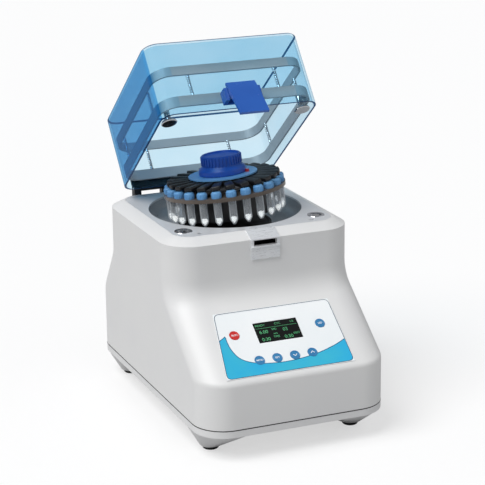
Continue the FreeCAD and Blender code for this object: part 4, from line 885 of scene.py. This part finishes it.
def wordsOf(words, size, centre, low, thick=0.04, bold=0.0):
    # lettering as a mesh, centred at a point of the panel
    curve = bpy.data.curves.new("words", "FONT")
    curve.body, curve.size, curve.extrude = words, size, thick / 2
    curve.offset = bold
    curve.align_x, curve.align_y = "CENTER", "CENTER"
    host = bpy.data.objects.new("words", curve)
    bpy.context.scene.collection.objects.link(host)
    view = bpy.context.evaluated_depsgraph_get()
    mesh = bpy.data.meshes.new_from_object(host.evaluated_get(view))
    work = bmesh.new()
    work.from_mesh(mesh)
    bpy.data.objects.remove(host)
    bpy.data.meshes.remove(mesh)
    return movedBy(work, Matrix.Translation((centre[0], centre[1], low + thick / 2)))


keyLook = {
    "rim": 0.7, "dip": 0.35, "stem": 2.0, "depth": 4.0, "glyph": 3.9, "smallGlyph": 3.3,
    "chevron": (2.6, 1.1, 1.5), "chevronLine": 1.1,
    "faces": {"run_key": "RUN", "open_key": "LID", "menu_key": "MENU", "set_key": "SET"}}
keyNames = [name for name in nodes if name.endswith("_key")]
for name in keyNames:
    low, high = spanOf(name, panelPlace)
    centre = (low + high) / 2
    radius = (high.x - low.x) / 2
    top = high.z
    keyWork = lathe([
        (0, low.z), (keyLook["stem"], low.z), (keyLook["stem"], top - keyLook["depth"]),
        (radius, top - keyLook["depth"]), (radius, top - 0.4), (radius - 0.15, top - 0.12),
        (radius - 0.4, top), (radius - keyLook["rim"], top - 0.1),
        (radius - keyLook["rim"] - 0.4, top - keyLook["dip"]), (radius * 0.5, top - 0.15),
        (0, top - 0.08)], 40)
    movedBy(keyWork, Matrix.Translation((centre.x, centre.y, 0)))
    pieceFrom(name + "_cap", keyWork, panelPlace, finish[slotOf[name]], bodyOf[name],
              slotOf[name], name)
    if name in keyLook["faces"]:
        words = keyLook["faces"][name]
        size = keyLook["glyph"] if len(words) < 4 else keyLook["smallGlyph"]
        glyph = wordsOf(words, size, centre.xy, top - 0.12, thick=0.14, bold=0.06)
    else:
        up = 1 if name == "up_key" else -1
        side, foot, tip = keyLook["chevron"]
        chevron = [(-side, -foot * up), (0, tip * up), (side, -foot * up)]
        glyph = strip([(centre.x + x, centre.y + y) for x, y in chevron],
                      keyLook["chevronLine"], top - 0.14, top + 0.05)
    pieceFrom(name + "_glyph", glyph, panelPlace, inkWhite, bodyOf[name], slotOf[name])

screenLow, screenHigh = spanOf("display_module", panelPlace)
screenLook = {
    "rows": [("READY", 4.4, 0.15, 0.86), ("CYC", 4.4, 0.55, 0.86), ("1/3", 4.4, 0.88, 0.86),
             ("6.00", 7.2, 0.18, 0.52), ("SPD", 4.2, 0.43, 0.60), ("m/s", 4.2, 0.43, 0.38),
             ("03", 7.2, 0.68, 0.52), ("0:30", 7.2, 0.18, 0.15), ("TIME", 4.2, 0.43, 0.22),
             ("0:30", 7.2, 0.70, 0.15), ("REST", 4.2, 0.90, 0.26)],
    "lift": 0.02, "barUp": 0.72, "barMargin": 1.5, "barWidth": 0.4, "barTop": 0.06}
screenSize = screenHigh - screenLow
screenFoot = screenHigh.z + screenLook["lift"]
screenWorks = []
for words, size, across, up in screenLook["rows"]:
    spot = (screenLow.x + screenSize.x * across, screenLow.y + screenSize.y * up)
    screenWorks.append(wordsOf(words, size, spot, screenFoot))
barY = screenLow.y + screenSize.y * screenLook["barUp"]
bar = [(screenLow.x + screenLook["barMargin"], barY),
       (screenHigh.x - screenLook["barMargin"], barY)]
screenWorks.append(
    strip(bar, screenLook["barWidth"], screenFoot, screenHigh.z + screenLook["barTop"]))
pieceFrom("screen_text", joined(*screenWorks), panelPlace, screenGreen, bodyOf["display_module"],
          slotOf["display_module"])
print("panel printed")

# a dark strip along the seam between the upper housing and the base tray
seamStripLook = {"inset": 0.20, "width": 0.8, "height": 1.2, "corner": 43.5, "steps": 10,
            "overlap": 0.1}
housingLow, housingHigh = (Vector(corner) * 1000 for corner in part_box("upper_housing"))
seamStripLine = []
for quarter, (x, y) in enumerate(
        [(housingHigh.x, housingHigh.y), (housingLow.x, housingHigh.y),
         (housingLow.x, housingLow.y), (housingHigh.x, housingLow.y)]):
    reach = seamStripLook["corner"]
    middle = Vector((x - math.copysign(reach, x), y - math.copysign(reach, y)))
    for i in range(seamStripLook["steps"] + 1):
        angle = math.radians(90 * (quarter + i / seamStripLook["steps"]))
        seamStripLine.append(middle + Vector((math.cos(angle), math.sin(angle)))
                        * (reach - seamStripLook["inset"]))
pieceFrom("seam_seal",
          strip(seamStripLine, seamStripLook["width"],
                housingLow.z - seamStripLook["height"] + seamStripLook["overlap"],
                housingLow.z + seamStripLook["overlap"], closed=True),
          Matrix.Identity(4), finish["black_rubber"], "base", "black_rubber")

slotBox = next(hole["box_m"] for hole in frame["record"]["physics"]["openings"]
               if hole["name"] == "latch_slot")
plateLow, plateHigh = (Vector(corner) * 1000 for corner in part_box("latch_plate"))
lipLook = {"ledge": (2.0, 2.0), "lip": (0.9, 1.6), "round": 0.35, "slotRoom": 1.1,
           "sink": 0.05}
plateWide = plateHigh.x - plateLow.x
ledge = movedBy(
    roundedBar((plateWide, *lipLook["ledge"]), lipLook["round"]),
    Matrix.Translation((0, plateLow.y - lipLook["ledge"][0] / 2 + lipLook["sink"],
                        slotBox[0][2] * 1000 - lipLook["slotRoom"] - lipLook["ledge"][1] / 2)))
lip = movedBy(
    roundedBar((plateWide, *lipLook["lip"]), lipLook["round"]),
    Matrix.Translation((0, plateLow.y - lipLook["lip"][0] / 2 + lipLook["sink"],
                        slotBox[1][2] * 1000 + lipLook["slotRoom"] + lipLook["lip"][1] / 2)))
pieceFrom("latch_lips", joined(ledge, lip), Matrix.Identity(4), latchSteel,
          bodyOf["latch_plate"], slotOf["latch_plate"])
print("seam darkened and latch lips made")

stageLook = {
    "floor": tone(253, 253, 253), "floorReach": 30, "floorRoughness": 0.7, "floorSpecular": 0.1,
    "sky": tone(246, 248, 252),
    "skyStrength": 0.32,
    "key": {"from": (-0.56, -0.13, 0.84), "strength": 2.55, "angle": 42.0},
    "floorBounce": 0.5, "floorGlow": 0.6,  # light it gives back, share of its own light as seen
    "fill": {"from": (0.75, -0.45, 0.48), "strength": 0.30, "angle": 60.0},
}
floorMesh = bpy.data.meshes.new("floor")
reach = stageLook["floorReach"]
floorMesh.from_pydata(
    [(-reach, -reach, 0), (reach, -reach, 0), (reach, reach, 0), (-reach, reach, 0)], [],
    [(0, 1, 2, 3)])
floor = bpy.data.objects.new("floor", floorMesh)
bpy.context.scene.collection.objects.link(floor)
floorPaint, floorTree, floorSurface = newMaterial("floorPaint")
floorSurface.inputs["Base Color"].default_value = stageLook["floor"]
floorSurface.inputs["Roughness"].default_value = stageLook["floorRoughness"]
floorSurface.inputs["Specular IOR Level"].default_value = stageLook["floorSpecular"]
floorGlow = addNode(floorTree, "ShaderNodeEmission")
floorGlow.inputs["Color"].default_value = stageLook["floor"]
floorDull = addNode(floorTree, "ShaderNodeBsdfDiffuse")
floorDull.inputs["Color"].default_value = (*[stageLook["floorBounce"]] * 3, 1.0)
floorPath = addNode(floorTree, "ShaderNodeLightPath")
floorSeen, floorMix = (addNode(floorTree, "ShaderNodeMixShader") for _ in range(2))
floorSeen.inputs[0].default_value = stageLook["floorGlow"]
floorTree.links.new(floorSurface.outputs[0], floorSeen.inputs[1])
floorTree.links.new(floorGlow.outputs[0], floorSeen.inputs[2])
floorTree.links.new(floorPath.outputs["Is Camera Ray"], floorMix.inputs[0])
floorTree.links.new(floorDull.outputs[0], floorMix.inputs[1])
floorTree.links.new(floorSeen.outputs[0], floorMix.inputs[2])
floorOutput = next(n for n in floorTree.nodes if n.type == "OUTPUT_MATERIAL")
floorTree.links.new(floorMix.outputs[0], floorOutput.inputs["Surface"])
floorMesh.materials.append(floorPaint)
floor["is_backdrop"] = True

world = bpy.data.worlds.new("studio")
bpy.context.scene.world = world
world.use_nodes = True
sky = world.node_tree.nodes["Background"]
sky.inputs["Color"].default_value = stageLook["sky"]
sky.inputs["Strength"].default_value = stageLook["skyStrength"]


def softSun(name, look):
    lamp = bpy.data.lights.new(name, "SUN")
    lamp.energy = look["strength"]
    lamp.angle = math.radians(look["angle"])
    item = bpy.data.objects.new(name, lamp)
    item.rotation_euler = Vector(look["from"]).to_track_quat("Z", "Y").to_euler()
    bpy.context.scene.collection.objects.link(item)


softSun("keyLight", stageLook["key"])
softSun("fillLight", stageLook["fill"])

cameraLook = {
    "lens": 131.6, "sensor": 36.0, "place": (-0.88985, -2.14203, 0.9098),
    "across": (0.9208, -0.3899, -0.0101), "upward": (0.1192, 0.2568, 0.9591)}
camera = bpy.data.cameras.new("camera")
camera.lens = cameraLook["lens"]
camera.sensor_width = cameraLook["sensor"]
cameraItem = bpy.data.objects.new("camera", camera)
across = Vector(cameraLook["across"]).normalized()
upward = Vector(cameraLook["upward"]).normalized()
behind = across.cross(upward)
turn = Matrix((across, upward, behind)).transposed().to_4x4()
cameraItem.matrix_world = Matrix.Translation(cameraLook["place"]) @ turn
bpy.context.scene.collection.objects.link(cameraItem)
bpy.context.scene.camera = cameraItem
bpy.context.scene.view_settings.view_transform = "Standard"
print("stage set")

low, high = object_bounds()
